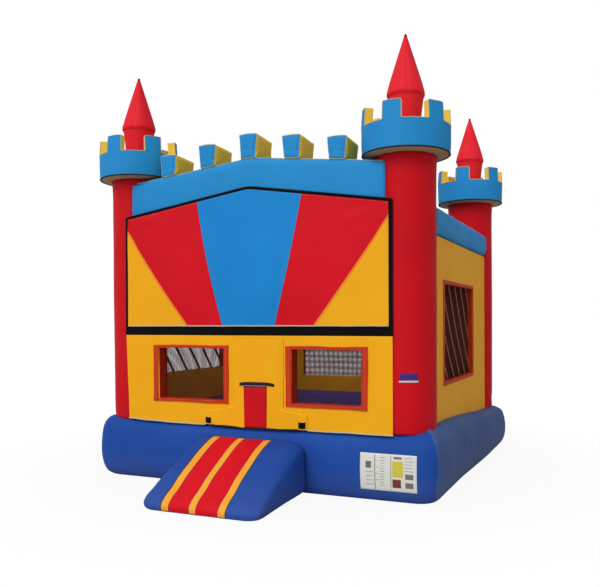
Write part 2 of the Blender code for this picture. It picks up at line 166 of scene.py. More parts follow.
def film_relief() -> bpy.types.NodeTree:
    """Shared height of coated film: woven scrim under the coat, soft buckles and fine orange peel.

    Returns:
        The node group, built once.
    """
    made = bpy.data.node_groups.get("film_relief")
    if made:
        return made
    tree, given, result = group("film_relief", "ShaderNodeTree", {
        "Buckle": "Float", "Scrim": "Float", "Size": "Float"}, {"Height": "Float"})
    place = node(tree, "ShaderNodeTexCoord").outputs["Object"]
    soft = node(tree, "ShaderNodeTexNoise", {"Vector": place, "Scale": given.outputs["Size"], "Detail": 3.0,
            "Roughness": 0.45, "Distortion": 0.6}).outputs[0]
    peel = node(tree, "ShaderNodeTexNoise", {"Vector": place, "Scale": 160.0, "Detail": 2.0}).outputs[0]
    parts = node(tree, "ShaderNodeSeparateXYZ", {0: place})
    threads = []
    for first, second in (("X", "Y"), ("Z", "Y")):
        run = math_node(tree, "ADD", parts.outputs[first], parts.outputs[second])
        threads.append(math_node(tree, "SINE", math_node(tree, "MULTIPLY", run, 1600.0)))
    crossing = math_node(tree, "MULTIPLY", *threads[:2])
    weave = math_node(tree, "MULTIPLY", crossing, given.outputs["Scrim"])
    high = math_node(tree, "MULTIPLY", soft, given.outputs["Buckle"])
    fine = math_node(tree, "MULTIPLY", peel, 0.0004)
    total = math_node(tree, "ADD", math_node(tree, "ADD", high, fine), weave)
    tree.links.new(total, result.inputs["Height"])
    return tree


def film_tone() -> bpy.types.NodeTree:
    """Shared colour change of used film: cloudy tone, faint scuffs and dust near the ground.

    Returns:
        The node group, built once.
    """
    made = bpy.data.node_groups.get("film_tone")
    if made:
        return made
    tree, given, result = group("film_tone", "ShaderNodeTree", {
        "Colour": "Color", "Shade": "Color", "Dust": "Float", "Roughness": "Float"},
        {"Colour": "Color", "Roughness": "Float"})
    place = node(tree, "ShaderNodeTexCoord").outputs["Object"]
    cloud = node(tree, "ShaderNodeTexNoise", {"Vector": place, "Scale": 1.7, "Detail": 4.0}).outputs[0]
    cloudy = node(tree, "ShaderNodeMapRange", {0: cloud, 1: 0.35, 2: 0.7, 3: 0.0, 4: 0.55}).outputs[0]
    toned = node(tree, "ShaderNodeMix", {0: cloudy, 6: given.outputs["Colour"], 7: given.outputs["Shade"]},
                 data_type="RGBA").outputs[2]
    stretched = node(tree, "ShaderNodeMapping", {0: place, 3: (9.0, 9.0, 55.0)}).outputs[0]
    scratch = node(tree, "ShaderNodeTexNoise", {"Vector": stretched, "Scale": 1.0, "Detail": 5.0,
            "Roughness": 0.7}).outputs[0]
    scuffed = node(tree, "ShaderNodeMapRange", {0: scratch, 1: 0.66, 2: 0.8, 3: 0.0, 4: 0.18}).outputs[0]
    height = node(tree, "ShaderNodeSeparateXYZ", {0: place}).outputs["Z"]
    low = node(tree, "ShaderNodeMapRange", {0: height, 1: 0.0, 2: 0.35, 3: 1.0, 4: 0.0}).outputs[0]
    dust = math_node(tree, "MULTIPLY", math_node(tree, "MULTIPLY", low, cloud), given.outputs["Dust"])
    worn = node(tree, "ShaderNodeMix", {0: math_node(tree, "MAXIMUM", scuffed, dust), 6: toned,
            7: (0.42, 0.38, 0.34, 1.0)}, data_type="RGBA").outputs[2]
    rough = math_node(tree, "ADD", given.outputs["Roughness"], math_node(tree, "MULTIPLY", cloudy, 0.12))
    tree.links.new(worn, result.inputs["Colour"])
    tree.links.new(rough, result.inputs["Roughness"])
    return tree


def shared(tree: bpy.types.NodeTree, grouped: bpy.types.NodeTree, **values: object) -> bpy.types.Node:
    """Add a shared node group and set its constants on its own sockets.

    Args:
        tree: the tree that gets the node.
        grouped: the shared group.
        values: the constants, by input name.

    Returns:
        The group's node.
    """
    made = node(tree, "ShaderNodeGroup", node_tree=grouped)
    for name, value in values.items():
        made.inputs[name].default_value = value
    return made


# ---- finishes ----
@dataclass(frozen=True)
class Finish:
    """A named finish, made as a material when a piece first asks for it."""

    name: str
    slot: str
    colour: Colour

    def material(self) -> bpy.types.Material:
        """Build the material once.

        Returns:
            The material.
        """
        made = bpy.data.materials.get(self.name)
        if not made:
            made = bpy.data.materials.new(self.name)
            made.use_nodes = True
            made.diffuse_color = (*self.colour, 1.0)
            self.paint(made.node_tree, made.node_tree.nodes["Principled BSDF"])
        return made


@dataclass(frozen=True)
class Film(Finish):
    """Coated vinyl film in one colour."""

    shade: Colour
    roughness: float = 0.55
    buckle: float = 0.010
    size: float = 3.2
    scrim: float = 0.00012
    dust: float = 0.0
    gloss: float = 0.12

    def paint(self, tree: bpy.types.NodeTree, shader: bpy.types.Node) -> None:
        """Set up the finish's nodes.

        Args:
            tree: the material's tree.
            shader: its Principled node.
        """
        tone = shared(tree, film_tone(), Colour=(*self.colour, 1.0), Shade=(*self.shade, 1.0), Dust=self.dust,
                      Roughness=self.roughness)
        relief = shared(tree, film_relief(), Buckle=self.buckle, Scrim=self.scrim, Size=self.size)
        bump = node(tree, "ShaderNodeBump", {"Height": relief.outputs["Height"], "Strength": 0.8, "Distance": 1.0})
        tree.links.new(tone.outputs["Colour"], shader.inputs["Base Color"])
        tree.links.new(tone.outputs["Roughness"], shader.inputs["Roughness"])
        tree.links.new(bump.outputs[0], shader.inputs["Normal"])
        shader.inputs["Specular IOR Level"].default_value = self.gloss


@dataclass(frozen=True)
class Webbing(Finish):
    """Woven tape, net cord or hook-and-loop pile."""

    light: Colour
    thread: float = 0.0016
    rough: float = 0.85
    sheen: float = 0.04

    def paint(self, tree: bpy.types.NodeTree, shader: bpy.types.Node) -> None:
        """Set up the finish's nodes.

        Args:
            tree: the material's tree.
            shader: its Principled node.
        """
        place = node(tree, "ShaderNodeTexCoord").outputs["Object"]
        parts = node(tree, "ShaderNodeSeparateXYZ", {0: place})
        turns = math.tau / self.thread
        waves = [math_node(tree, "SINE", math_node(tree, "MULTIPLY", math_node(
            tree, kind, parts.outputs["X"], parts.outputs["Z"]), turns)) for kind in ("ADD", "SUBTRACT")]
        weave = math_node(tree, "MULTIPLY", waves[0], waves[1])
        fuzz = node(tree, "ShaderNodeTexNoise", {"Vector": place, "Scale": 420.0, "Detail": 3.0}).outputs[0]
        blend = math_node(tree, "MULTIPLY_ADD", weave, 0.3)
        tree.links.new(fuzz, blend.node.inputs[2])
        tint = node(tree, "ShaderNodeMix", {0: blend, 6: (*self.colour, 1.0), 7: (*self.light, 1.0)},
                    data_type="RGBA").outputs[2]
        bump = node(tree, "ShaderNodeBump", {"Height": blend, "Strength": 0.6, "Distance": self.thread * 0.5})
        tree.links.new(tint, shader.inputs["Base Color"])
        tree.links.new(bump.outputs[0], shader.inputs["Normal"])
        shader.inputs["Roughness"].default_value = self.rough
        shader.inputs["Sheen Weight"].default_value = self.sheen
        shader.inputs["Specular IOR Level"].default_value = 0.08


@dataclass(frozen=True)
class Steel(Finish):
    """Zinc-plated steel with a fine brushed mottle."""

    name: str = "plated_steel_finish"
    slot: str = "plated_steel"
    colour: Colour = (0.56, 0.57, 0.58)

    def paint(self, tree: bpy.types.NodeTree, shader: bpy.types.Node) -> None:
        """Set up the finish's nodes.

        Args:
            tree: the material's tree.
            shader: its Principled node.
        """
        place = node(tree, "ShaderNodeTexCoord").outputs["Object"]
        mottle = node(tree, "ShaderNodeTexNoise", {"Vector": place, "Scale": 260.0, "Detail": 4.0}).outputs[0]
        rough = node(tree, "ShaderNodeMapRange", {0: mottle, 3: 0.24, 4: 0.48}).outputs[0]
        tint = node(tree, "ShaderNodeMix", {0: mottle, 6: (*self.colour, 1.0), 7: (0.40, 0.41, 0.43, 1.0)},
                    data_type="RGBA").outputs[2]
        bump = node(tree, "ShaderNodeBump", {"Height": mottle, "Strength": 0.3, "Distance": 0.0003})
        tree.links.new(tint, shader.inputs["Base Color"])
        tree.links.new(rough, shader.inputs["Roughness"])
        tree.links.new(bump.outputs[0], shader.inputs["Normal"])
        shader.inputs["Metallic"].default_value = 1.0


RED = Film("red_film", "red_vinyl", (0.66, 0.004, 0.012), (0.54, 0.003, 0.010))
# Lighter, pinker copy of the red vinyl for the spires; its extra lightness is painted light on the up-facing cones.
LIT_SPIRE_RED = Film("spire_film", "red_vinyl", (0.88, 0.020, 0.034), (0.76, 0.012, 0.024))
YELLOW = Film("yellow_film", "yellow_vinyl", (0.97, 0.45, 0.008), (0.92, 0.40, 0.007))
SKY = Film("sky_film", "sky_vinyl", (0.022, 0.29, 0.66), (0.018, 0.24, 0.57))
ROYAL = Film("royal_film", "royal_vinyl", (0.015, 0.078, 0.38), (0.011, 0.055, 0.30), dust=0.12)
ORANGE = Film("orange_film", "orange_red_vinyl", (0.62, 0.044, 0.010), (0.50, 0.027, 0.008))
# Greyer copy of the royal film for the base's right side: painted sheen, the reflection that face catches; its
# stronger dust mix greys it further near the ground.
ROYAL_PAINTED_SHEEN = Film("faded_royal_film", "royal_vinyl", (0.060, 0.115, 0.315), (0.040, 0.080, 0.240), dust=0.3)
# The window bands' orange-red carried into the front and side openings' reveals, made darker than the bands as painted
# shade in the recess.
SHADED_REVEAL = Film("reveal_film", "orange_red_vinyl", (0.50, 0.030, 0.008), (0.36, 0.020, 0.006))
AMBER = Film("amber_film", "yellow_vinyl", (0.90, 0.30, 0.010), (0.82, 0.24, 0.008))
STRIPE = Film("stripe_film", "yellow_vinyl", (0.97, 0.43, 0.045), (0.92, 0.34, 0.020), buckle=0.004)
# Cream of the turret undersides, darkened as painted shade: they hang in shadow.
SHADED_UNDERSIDE = Film("underside_film", "pale_webbing", (0.44, 0.31, 0.17), (0.33, 0.22, 0.12), buckle=0.002)
WHITE = Film("white_film", "white_vinyl", (0.80, 0.80, 0.74), (0.70, 0.69, 0.62), buckle=0.002)
VIOLET = Film("violet_film", "violet_vinyl", (0.075, 0.022, 0.22), (0.04, 0.012, 0.13), buckle=0.002)
PANEL_YELLOW = Film("panel_yellow_film", "panel_vinyl", (0.97, 0.45, 0.010), (0.92, 0.40, 0.008), buckle=0.006)
PANEL_AMBER = Film("panel_amber_film", "panel_vinyl", (0.94, 0.27, 0.02), (0.88, 0.20, 0.02), buckle=0.006)
PANEL_RED = Film("panel_red_film", "panel_vinyl", (0.74, 0.005, 0.016), (0.60, 0.004, 0.012), buckle=0.006)
PANEL_SKY = Film("panel_sky_film", "panel_vinyl", (0.012, 0.26, 0.68), (0.010, 0.22, 0.60), buckle=0.006)
BLACK_TAPE = Webbing("black_tape", "black_webbing", (0.010, 0.009, 0.010), (0.035, 0.033, 0.034))
PILE = Webbing("pile_band", "hook_and_loop", (0.002, 0.002, 0.002), (0.006, 0.005, 0.006), rough=0.95)
PALE_TAPE = Webbing("pale_tape", "pale_webbing", (0.70, 0.52, 0.50), (0.80, 0.66, 0.64))
MERLON_SIDE = Film("merlon_side_film", "yellow_vinyl", (0.98, 0.66, 0.080), (0.84, 0.54, 0.055), buckle=0.004)
PRINT_YELLOW = Film("print_yellow_film", "white_vinyl", (0.72, 0.62, 0.08), (0.60, 0.50, 0.06), buckle=0.001)
PRINT_RED = Film("print_red_film", "white_vinyl", (0.24, 0.045, 0.035), (0.18, 0.03, 0.025), buckle=0.001)
PRINT_GREY = Film("print_grey_film", "white_vinyl", (0.16, 0.13, 0.12), (0.30, 0.27, 0.25), buckle=0.001)
# Cream piping along edges; its pale tubes also paint the thin highlights that light leaves along merlon, crenel, beam,
# wall-foot and panel edges.
PIPING_AND_HIGHLIGHT = Webbing("cream_piping", "pale_webbing", (0.46, 0.42, 0.30), (0.66, 0.62, 0.48), thread=0.003)
THREAD = Webbing("sewing_thread", "pale_webbing", (0.55, 0.42, 0.24), (0.68, 0.56, 0.36), thread=0.0006)
DARK_THREAD = Webbing("dark_thread", "black_webbing", (0.02, 0.015, 0.02), (0.05, 0.04, 0.05), thread=0.0006)
NET = Webbing("net_cord", "safety_net", (0.060, 0.011, 0.006), (0.110, 0.022, 0.012), thread=0.001)
STRAP = Webbing("window_strap", "safety_net", (0.24, 0.075, 0.030), (0.36, 0.14, 0.06), thread=0.004)
STEEL = Steel()


# ---- meshes ----
def curve_through(points: Sequence[Sequence[float]], spans: int, looped: bool = False) -> list[tuple]:
    """A smooth line through points.

    Args:
        points: the points, of any one dimension.
        spans: new points per span.
        looped: whether the last point leads back to the first.

    Returns:
        The finer line, ends included.
    """
    count = len(points)
    line = []
    for n in range(count if looped else count - 1):
        near = [points[(n + k) % count if looped else min(max(n + k, 0), count - 1)] for k in (-1, 0, 1, 2)]
        for step in range(spans):
            t = step / spans
            weights = (
                -t + 2 * t * t - t ** 3, 2 - 5 * t * t + 3 * t ** 3, t + 4 * t * t - 3 * t ** 3, t ** 3 - t * t)
            line.append(tuple(sum(w * p[axis] for w, p in zip(weights, near)) / 2 for axis in range(len(near[0]))))
    if not looped:
        line.append(tuple(points[-1]))
    return line


def spread(low: float, high: float, count: int) -> list[float]:
    """Evenly spaced values, both ends included."""
    return [low + (high - low) * n / (count - 1) for n in range(count)]


def loops_at(features: Iterable[float], step: float, hem: float) -> list[float]:
    """Grid lines with a close pair of loops beside every feature, which keeps its edge crisp but round.

    Args:
        features: the coordinates of edges.
        step: the largest spacing between lines.
        hem: distance of the extra loops from an edge.

    Returns:
        The sorted lines.
    """
    marks = sorted(set(features))
    lines = {marks[0], marks[-1]}
    for here, there in zip(marks, marks[1:]):
        count = max(2, round((there - here - 2 * hem) / step) + 1)
        lines.update([here, there, *spread(here + hem, there - hem, count)])
    return sorted(lines)


def wobble(place: Sequence[float], size: float, seed: float = 0.0) -> float:
    """Smooth noise from -1 to 1 at a place, for waves of about the given size."""
    return noise.noise(Vector(place) / size + Vector((seed, seed * 0.7, -seed)))


def turned(point: Sequence[float], side: Side) -> Vector:
    """A point drawn on the front, turned to its side."""
    return Matrix.Rotation(math.radians(90 * side.value), 3, "Z") @ Vector(point)


def bulged(value: float, power: float) -> float:
    """A sine or cosine to a power with its sign kept, which squares a circle off."""
    return math.copysign(abs(value) ** power, value)


def placed(mesh: bpy.types.Mesh) -> bpy.types.Object:
    """Put a mesh into the scene as an object of the same name.

    Args:
        mesh: the mesh.

    Returns:
        The object.
    """
    obj = bpy.data.objects.new(mesh.name, mesh)
    bpy.context.scene.collection.objects.link(obj)
    return obj


def thicken(obj: bpy.types.Object, thickness: float, offset: float) -> None:
    """Give an open sheet its thickness.

    Args:
        obj: the sheet.
        thickness: its thickness.
        offset: -1 to grow inwards, 0 to both sides, 1 outwards.
    """
    thick = obj.modifiers.new("thick", "SOLIDIFY")
    thick.thickness, thick.offset = thickness, offset
    settle(obj)


class Skin:
    """Points and faces gathered for one piece."""

    def __init__(self) -> None:
        """Start empty."""
        self.points: list[Vector] = []
        self.faces: list[tuple[int, ...]] = []
        self.tints: list[int] = []

    def rows(self, rows: Sequence[Sequence[Sequence[float]]], tint: int | Callable[[int, int], int] = 0,
             around: bool = False, looped: bool = False) -> "Skin":
        """Join rows of points with quads.

        Args:
            rows: equally long rows of points.
            tint: the faces' finish number, or a function of row and column.
            around: whether each row closes on itself.
            looped: whether the last row leads back to the first.

        Returns:
            This skin.
        """
        start, wide = len(self.points), len(rows[0])
        self.points += [Vector(point) for row in rows for point in row]
        for i in range(len(rows) if looped else len(rows) - 1):
            for j in range(wide if around else wide - 1):
                a, b = start + i * wide, start + (i + 1) % len(rows) * wide
                k = (j + 1) % wide
                self.faces.append((a + j, a + k, b + k, b + j))
                self.tints.append(tint(i, j) if callable(tint) else tint)
        return self

    def fan(self, ring: Sequence[Sequence[float]], centre: Sequence[float], tint: int = 0) -> "Skin":
        """Close a ring of points onto one centre point.

        Args:
            ring: the points around the hole.
            centre: the point they meet at.
            tint: the new faces' finish.

        Returns:
            This skin.
        """
        start, wide = len(self.points), len(ring)
        self.points += [Vector(point) for point in ring] + [Vector(centre)]
        for n in range(wide):
            self.faces.append((start + n, start + (n + 1) % wide, start + wide))
            self.tints.append(tint)
        return self

    def cells(self, xs: Sequence[float], ys: Sequence[float], zs: Sequence[float], solid: Callable[..., bool],
              spot: Callable[..., Sequence[float]], tint: Callable[..., int], around: bool = False) -> "Skin":
        """The outer faces of a grid's filled cells.

        Args:
            xs: the grid's lines along its first axis.
            ys: its lines along the second axis.
            zs: its lines along the third axis.
            solid: whether the cell with this middle is filled.
            spot: where a grid point lies.
            tint: the finish number of a face, from its axis, its direction and its middle.
            around: whether the first axis closes on itself.

        Returns:
            This skin.
        """
        lines, counts, corners = (xs, ys, zs), (len(xs) - (not around), len(ys) - 1, len(zs) - 1), {}

        def middle(cell: Sequence[int]) -> list[float]:
            """The middle of a cell; an axis that closes goes on past its last line.

            Args:
                cell: the cell's numbers.

            Returns:
                The middle.
            """
            out = []
            for axis, n in enumerate(cell):
                line = lines[axis]
                ahead = line[n + 1] if n + 1 < len(line) else line[0] + math.tau
                out.append((line[n] + ahead) / 2)
            return out

        def filled(cell: list[int]) -> bool:
            """Whether a cell is inside the grid and filled.

            Args:
                cell: the cell's numbers.

            Returns:
                True where it is.
            """
            if around:
                cell = [cell[0] % counts[0], *cell[1:]]
            return all(0 <= n < count for n, count in zip(cell, counts)) and solid(*middle(cell))

        kept = {(i, j, k) for i in range(counts[0]) for j in range(counts[1]) for k in range(counts[2])
                if filled([i, j, k])}
        for cell in sorted(kept):
            for axis in range(3):
                for step in (0, 1):
                    beside = list(cell)
                    beside[axis] += 1 if step else -1
                    if around:
                        beside[0] %= counts[0]
                    if tuple(beside) in kept:
                        continue
                    a, b = [n for n in range(3) if n != axis]
                    loop = []
                    for da, db in ((0, 0), (1, 0), (1, 1), (0, 1)):
                        at = list(cell)
                        at[axis] += step
                        at[a] += da
                        at[b] += db
                        if around:
                            at[0] %= len(xs)
                        key = tuple(at)
                        if key not in corners:
                            corners[key] = len(self.points)
                            self.points.append(Vector(spot(xs[key[0]], ys[key[1]], zs[key[2]])))
                        loop.append(corners[key])
                    self.faces.append(tuple(loop))
                    self.tints.append(tint(axis, step, *middle(cell)))
        return self

    def piece(self, name: str, finishes: Sequence, side: Side = Side.FRONT, soften: int = 0,
              merge: float = 1e-5) -> bpy.types.Object:
        """Make the skin one object.

        Args:
            name: the object's name.
            finishes: the finishes that the tints number.
            side: the side that it is turned to.
            soften: levels of subdivision.
            merge: points closer than this become one.

        Returns:
            The object, in the scene.
        """
        mesh = bpy.data.meshes.new(name)
        mesh.from_pydata([turned(point, side) for point in self.points], [], self.faces)
        mesh.polygons.foreach_set("material_index", self.tints)
        obj = placed(mesh)
        for finish in finishes:
            mesh.materials.append(finish.material())
        work = bmesh.new()
        work.from_mesh(mesh)
        bmesh.ops.remove_doubles(work, verts=work.verts, dist=merge)
        bmesh.ops.dissolve_degenerate(work, edges=work.edges, dist=1e-7)
        bmesh.ops.recalc_face_normals(work, faces=work.faces)
        work.to_mesh(mesh)
        work.free()
        if soften:
            modifier = obj.modifiers.new("soften", "SUBSURF")
            modifier.levels = modifier.render_levels = soften
            settle(obj)
        obj.data.shade_smooth()
        return obj


def settle(obj: bpy.types.Object) -> None:
    """Apply what an object's modifiers make and remove them.

    Args:
        obj: the object.
    """
    bpy.context.view_layer.update()
    graph = bpy.context.evaluated_depsgraph_get()
    shown = obj.evaluated_get(graph)
    mesh = bpy.data.meshes.new_from_object(shown, preserve_all_data_layers=True, depsgraph=graph)
    obj.modifiers.clear()
    old, name = obj.data, obj.data.name
    obj.data = mesh
    bpy.data.meshes.remove(old)
    mesh.name = name


def edge_line(name: str, lines: Iterable[Sequence[Sequence[float]]], side: Side = Side.FRONT) -> bpy.types.Object:
    """Bare edges along lines of points, for a node tree to build on.

    Args:
        name: the object's name.
        lines: lines of points; one that ends at its first point is closed.
        side: the side that it is turned to.

    Returns:
        The object, in the scene.
    """
    points, edges = [], []
    for line in lines:
        closed = len(line) > 2 and (Vector(line[0]) - Vector(line[-1])).length < 1e-6
        kept = line[:-1] if closed else line
        start = len(points)
        points += [turned(point, side) for point in kept]
        edges += [(start + n, start + n + 1) for n in range(len(kept) - 1)]
        if closed:
            edges.append((start + len(kept) - 1, start))
    mesh = bpy.data.meshes.new(name)
    mesh.from_pydata(points, edges, [])
    return placed(mesh)


def seam_line(name: str, piece: bpy.types.Object, tints: set[int], lift: float = 0.0) -> bpy.types.Object:
    """Bare edges where two finishes of a piece meet.

    Args:
        name: the object's name.
        piece: the finished piece.
        tints: the two finish numbers.
        lift: how far the line stands off the skin.

    Returns:
        The object, in the scene.
    """
    work = bmesh.new()
    work.from_mesh(piece.data)
    work.normal_update()
    seam = [edge for edge in work.edges if {face.material_index for face in edge.link_faces} == tints]
    index = {}
    for edge in seam:
        for vert in edge.verts:
            index.setdefault(vert, len(index))
    mesh = bpy.data.meshes.new(name)
    mesh.from_pydata([vert.co + vert.normal * lift for vert in index],
            [[index[vert] for vert in edge.verts] for edge in seam], [])
    work.free()
    return placed(mesh)


def tube_tree() -> bpy.types.NodeTree:
    """Node tree that runs a round tube along bare edges: piping, net cord and rings.

    Returns:
        The tree, built once.
    """
    made = bpy.data.node_groups.get("tube_along")
    if made:
        return made
    tree, given, result = group("tube_along", "GeometryNodeTree", {
        "Geometry": "Geometry", "Radius": "Float", "Step": "Float", "Sides": "Int", "Material": "Material"},
        {"Geometry": "Geometry"})
    line = node(tree, "GeometryNodeMeshToCurve", {"Mesh": given.outputs["Geometry"]}).outputs[0]
    even = node(tree, "GeometryNodeResampleCurve", {"Curve": line, "Length": given.outputs["Step"]},
                mode="LENGTH").outputs[0]
    ring = node(tree, "GeometryNodeCurvePrimitiveCircle", {"Resolution": given.outputs["Sides"],
            "Radius": given.outputs["Radius"]}).outputs[0]
    parts = {"Curve": even, "Profile Curve": ring, "Fill Caps": True}
    tube = node(tree, "GeometryNodeCurveToMesh", parts).outputs[0]
    smooth = node(tree, "GeometryNodeSetShadeSmooth", {0: tube}).outputs[0]
    real = node(tree, "GeometryNodeRealizeInstances", {0: smooth}).outputs[0]
    dressed = node(tree, "GeometryNodeSetMaterial", {"Geometry": real, "Material": given.outputs["Material"]})
    tree.links.new(dressed.outputs[0], result.inputs[0])
    return tree


def row_tree() -> bpy.types.NodeTree:
    """Node tree that sets small blocks in a row along bare edges: stitches and zip teeth.

    Returns:
        The tree, built once.
    """
    made = bpy.data.node_groups.get("row_along")
    if made:
        return made
    tree, given, result = group("row_along", "GeometryNodeTree", {
        "Geometry": "Geometry", "Pitch": "Float", "Size": "Vector", "Uneven": "Float", "Seed": "Int",
        "Material": "Material"}, {"Geometry": "Geometry"})
    line = node(tree, "GeometryNodeMeshToCurve", {"Mesh": given.outputs["Geometry"]}).outputs[0]
    spacing = {"Curve": line, "Length": given.outputs["Pitch"]}
    spots = node(tree, "GeometryNodeCurveToPoints", spacing, mode="LENGTH")
    along = node(tree, "FunctionNodeAlignRotationToVector", {"Vector": spots.outputs["Tangent"]}, axis="X")
    block = node(tree, "GeometryNodeMeshUVSphere", {"Segments": 6, "Rings": 4, "Radius": 0.5}).outputs[0]
    least = math_node(tree, "SUBTRACT", 1.0, given.outputs["Uneven"])
    size = node(tree, "FunctionNodeRandomValue", {2: least, 3: 1.0, "Seed": given.outputs["Seed"]},
                data_type="FLOAT").outputs[1]
    factors = {0: given.outputs["Size"], "Scale": size}
    scale = node(tree, "ShaderNodeVectorMath", factors, operation="SCALE").outputs[0]
    row = node(tree, "GeometryNodeInstanceOnPoints", {
        "Points": spots.outputs["Points"], "Instance": block,
        "Rotation": along.outputs[0], "Scale": scale}).outputs[0]
    real = node(tree, "GeometryNodeRealizeInstances", {0: row}).outputs[0]
    smooth = node(tree, "GeometryNodeSetShadeSmooth", {0: real}).outputs[0]
    dressed = node(tree, "GeometryNodeSetMaterial", {"Geometry": smooth, "Material": given.outputs["Material"]})
    tree.links.new(dressed.outputs[0], result.inputs[0])
    return tree


def grow(obj: bpy.types.Object, tree: bpy.types.NodeTree, finish: Finish,
         **values: object) -> bpy.types.Object:
    """Run a node tree on an object and keep the result as a plain mesh.

    Args:
        obj: the object with bare edges.
        tree: the node tree.
        finish: the finish of what it makes.
        values: the tree's other inputs, by name.

    Returns:
        The same object.
    """
    modifier = obj.modifiers.new(tree.name, "NODES")
    modifier.node_group = tree
    values["Material"] = finish.material()
    for item in tree.interface.items_tree:
        if item.in_out == "INPUT" and item.name in values:
            modifier[item.identifier] = values[item.name]
    settle(obj)
    return obj


def tube(obj: bpy.types.Object, finish: Finish, radius: float, step: float = 0.012,
         sides: int = 8) -> bpy.types.Object:
    """Run a round tube along an object's bare edges."""
    return grow(obj, tube_tree(), finish, Radius=radius, Step=step, Sides=sides)


def stitches(obj: bpy.types.Object, finish: Webbing, pitch: float = 0.009,
             size: Point = (0.006, 0.0014, 0.0014)) -> bpy.types.Object:
    """Set a row of stitches along an object's bare edges."""
    return grow(obj, row_tree(), finish, Pitch=pitch, Size=size, Uneven=0.15, Seed=7)


def sewn_on(name: str, lines: Iterable[Sequence[Sequence[float]]], pitch: float = 0.009,
            size: Point = (0.006, 0.0014, 0.0014), side: Side = Side.FRONT, finish: Webbing | None = None) -> None:
    """Sew rows of stitches onto the castle.

    Args:
        name: the piece's name.
        lines: the rows' points.
        pitch: distance from stitch to stitch.
        size: one stitch's size.
        side: the side that they are turned to.
        finish: the thread, pale if it isn't given.
    """
    thread = finish or THREAD
    hand_in(stitches(edge_line(name, lines, side), thread, pitch, size), Body.CASTLE, thread.slot)


def hand_in(obj: bpy.types.Object, body: Body, slot: str, *nodes: str) -> bpy.types.Object:
    """Give a finished piece its body and hide the solids that it stands for.

    Args:
        obj: the piece.
        body: the body that it rides on.
        slot: the material slot that it takes its finish from; not used.
        nodes: the solids that it replaces.

    Returns:
        The same piece.
    """
    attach(obj, body.value)
    if nodes:
        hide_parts(*nodes)
    LOG.info("%s rides on %s, %d faces", obj.name, body.value, len(obj.data.polygons))
    return obj


# ---- shared sizes, read from the frame ----
@dataclass
class Frame:
    """Sizes that more than one sub-assembly needs."""

    base: tuple = field(default_factory=lambda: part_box("base_front"))
    column: tuple = field(default_factory=lambda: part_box("column_front_right"))
    net: tuple = field(default_factory=lambda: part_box("upper_net"))

    def __post_init__(self) -> None:
        """Work out the driving sizes."""
        self.base_half = -self.base[0].y
        self.base_top = self.base[1].z
        self.column_r = (self.column[1].x - self.column[0].x) / 2
        self.column_at = (self.column[1].x + self.column[0].x) / 2
        self.gable_peak = self.net[1].z
        self.gable_slope = 0.1527

    def end_at(self, depth: float, most: float = 9.0) -> float:
        """Distance along a side at which a chamber's skin meets the column.

        Args:
            depth: distance of the skin from the centre.
            most: the largest distance allowed.

        Returns:
            The distance from the side's middle.
        """
        off = depth - self.column_at
        reach = math.sqrt(max(self.column_r ** 2 - off ** 2, 0.0))
        return min(self.column_at - reach + 0.004, most)

    def gable(self, x: float, drop: float = 0.0, soft: float = 0.03) -> float:
        """Height of the front gable at x, with a softly rounded peak."""
        return self.gable_peak - drop - self.gable_slope * (math.sqrt(x * x + soft * soft) - soft)

    @staticmethod
    def smooth(value: float, low: float, high: float) -> float:
        """0 below low, 1 above high, and a soft step between."""
        share = min(max((value - low) / (high - low), 0.0), 1.0)
        return share * share * (3 - 2 * share)

    def rise(self, x: float, y: float) -> float:
        """How much higher than level the base's top lies at a place: its right side slopes to the rear.

        Args:
            x: place across.
            y: place in depth.

        Returns:
            The rise in metres.
        """
        slope = 0.045 - 0.165 * self.smooth(y, -1.5, 1.9)
        front = self.smooth(y, -1.97, -1.60)
        return slope * front * self.smooth(x, 1.15, 1.6) + 0.02 * self.smooth(-x, 1.0, 1.7)

    def bulge(self, point: Vector) -> Vector:
        """How far sideways the base's skin lies at a point: fuller towards the right rear.

        Args:
            point: a point of the skin.

        Returns:
            The shift.
        """
        high = max(min(point.z / self.base_top, 1.0), 0.0)
        right = (0.055 + 0.038 * self.smooth(point.y, -0.9, 0.8)) * self.smooth(point.x, 1.55, 1.9)
        return Vector((right * (1.15 - 0.4 * high), 0, 0))

    def shoulder(self) -> list[Pair]:
        """The base's section as depth and height, from its inner top edge round to its inner bottom edge.

        Returns:
            The points.
        """
        half, top, inner = self.base_half, self.base_top, -self.base[1].y
        face = [
            (inner, top - 0.004), (half - 0.42, top + 0.002), (half - 0.19, top + 0.001), (half - 0.10, top - 0.016),
            (half - 0.042, top - 0.055), (half - 0.010, top - 0.120), (half + 0.006, top - 0.220),
            (half + 0.012, 0.34), (half + 0.006, 0.22), (half - 0.014, 0.12), (half - 0.055, 0.045),
            (half - 0.13, 0.006), (half - 0.25, 0.0), (inner, 0.0)]
        return curve_through(face, 5)

    def shoulder_at(self, height: float) -> float:
        """Distance of the base's outer face from the centre at a height.

        Args:
            height: the height.

        Returns:
            The distance.
        """
        near = [point for point in self.shoulder() if point[0] > self.base_half - 0.2]
        for above, below in zip(near, near[1:]):
            if below[1] <= height <= above[1]:
                share = (height - below[1]) / max(above[1] - below[1], 1e-6)
                return below[0] + (above[0] - below[0]) * share
        return self.base_half


SIZES = Frame()
CORNERS = {"front_left": (-1, -1), "front_right": (1, -1), "rear_left": (-1, 1), "rear_right": (1, 1)}


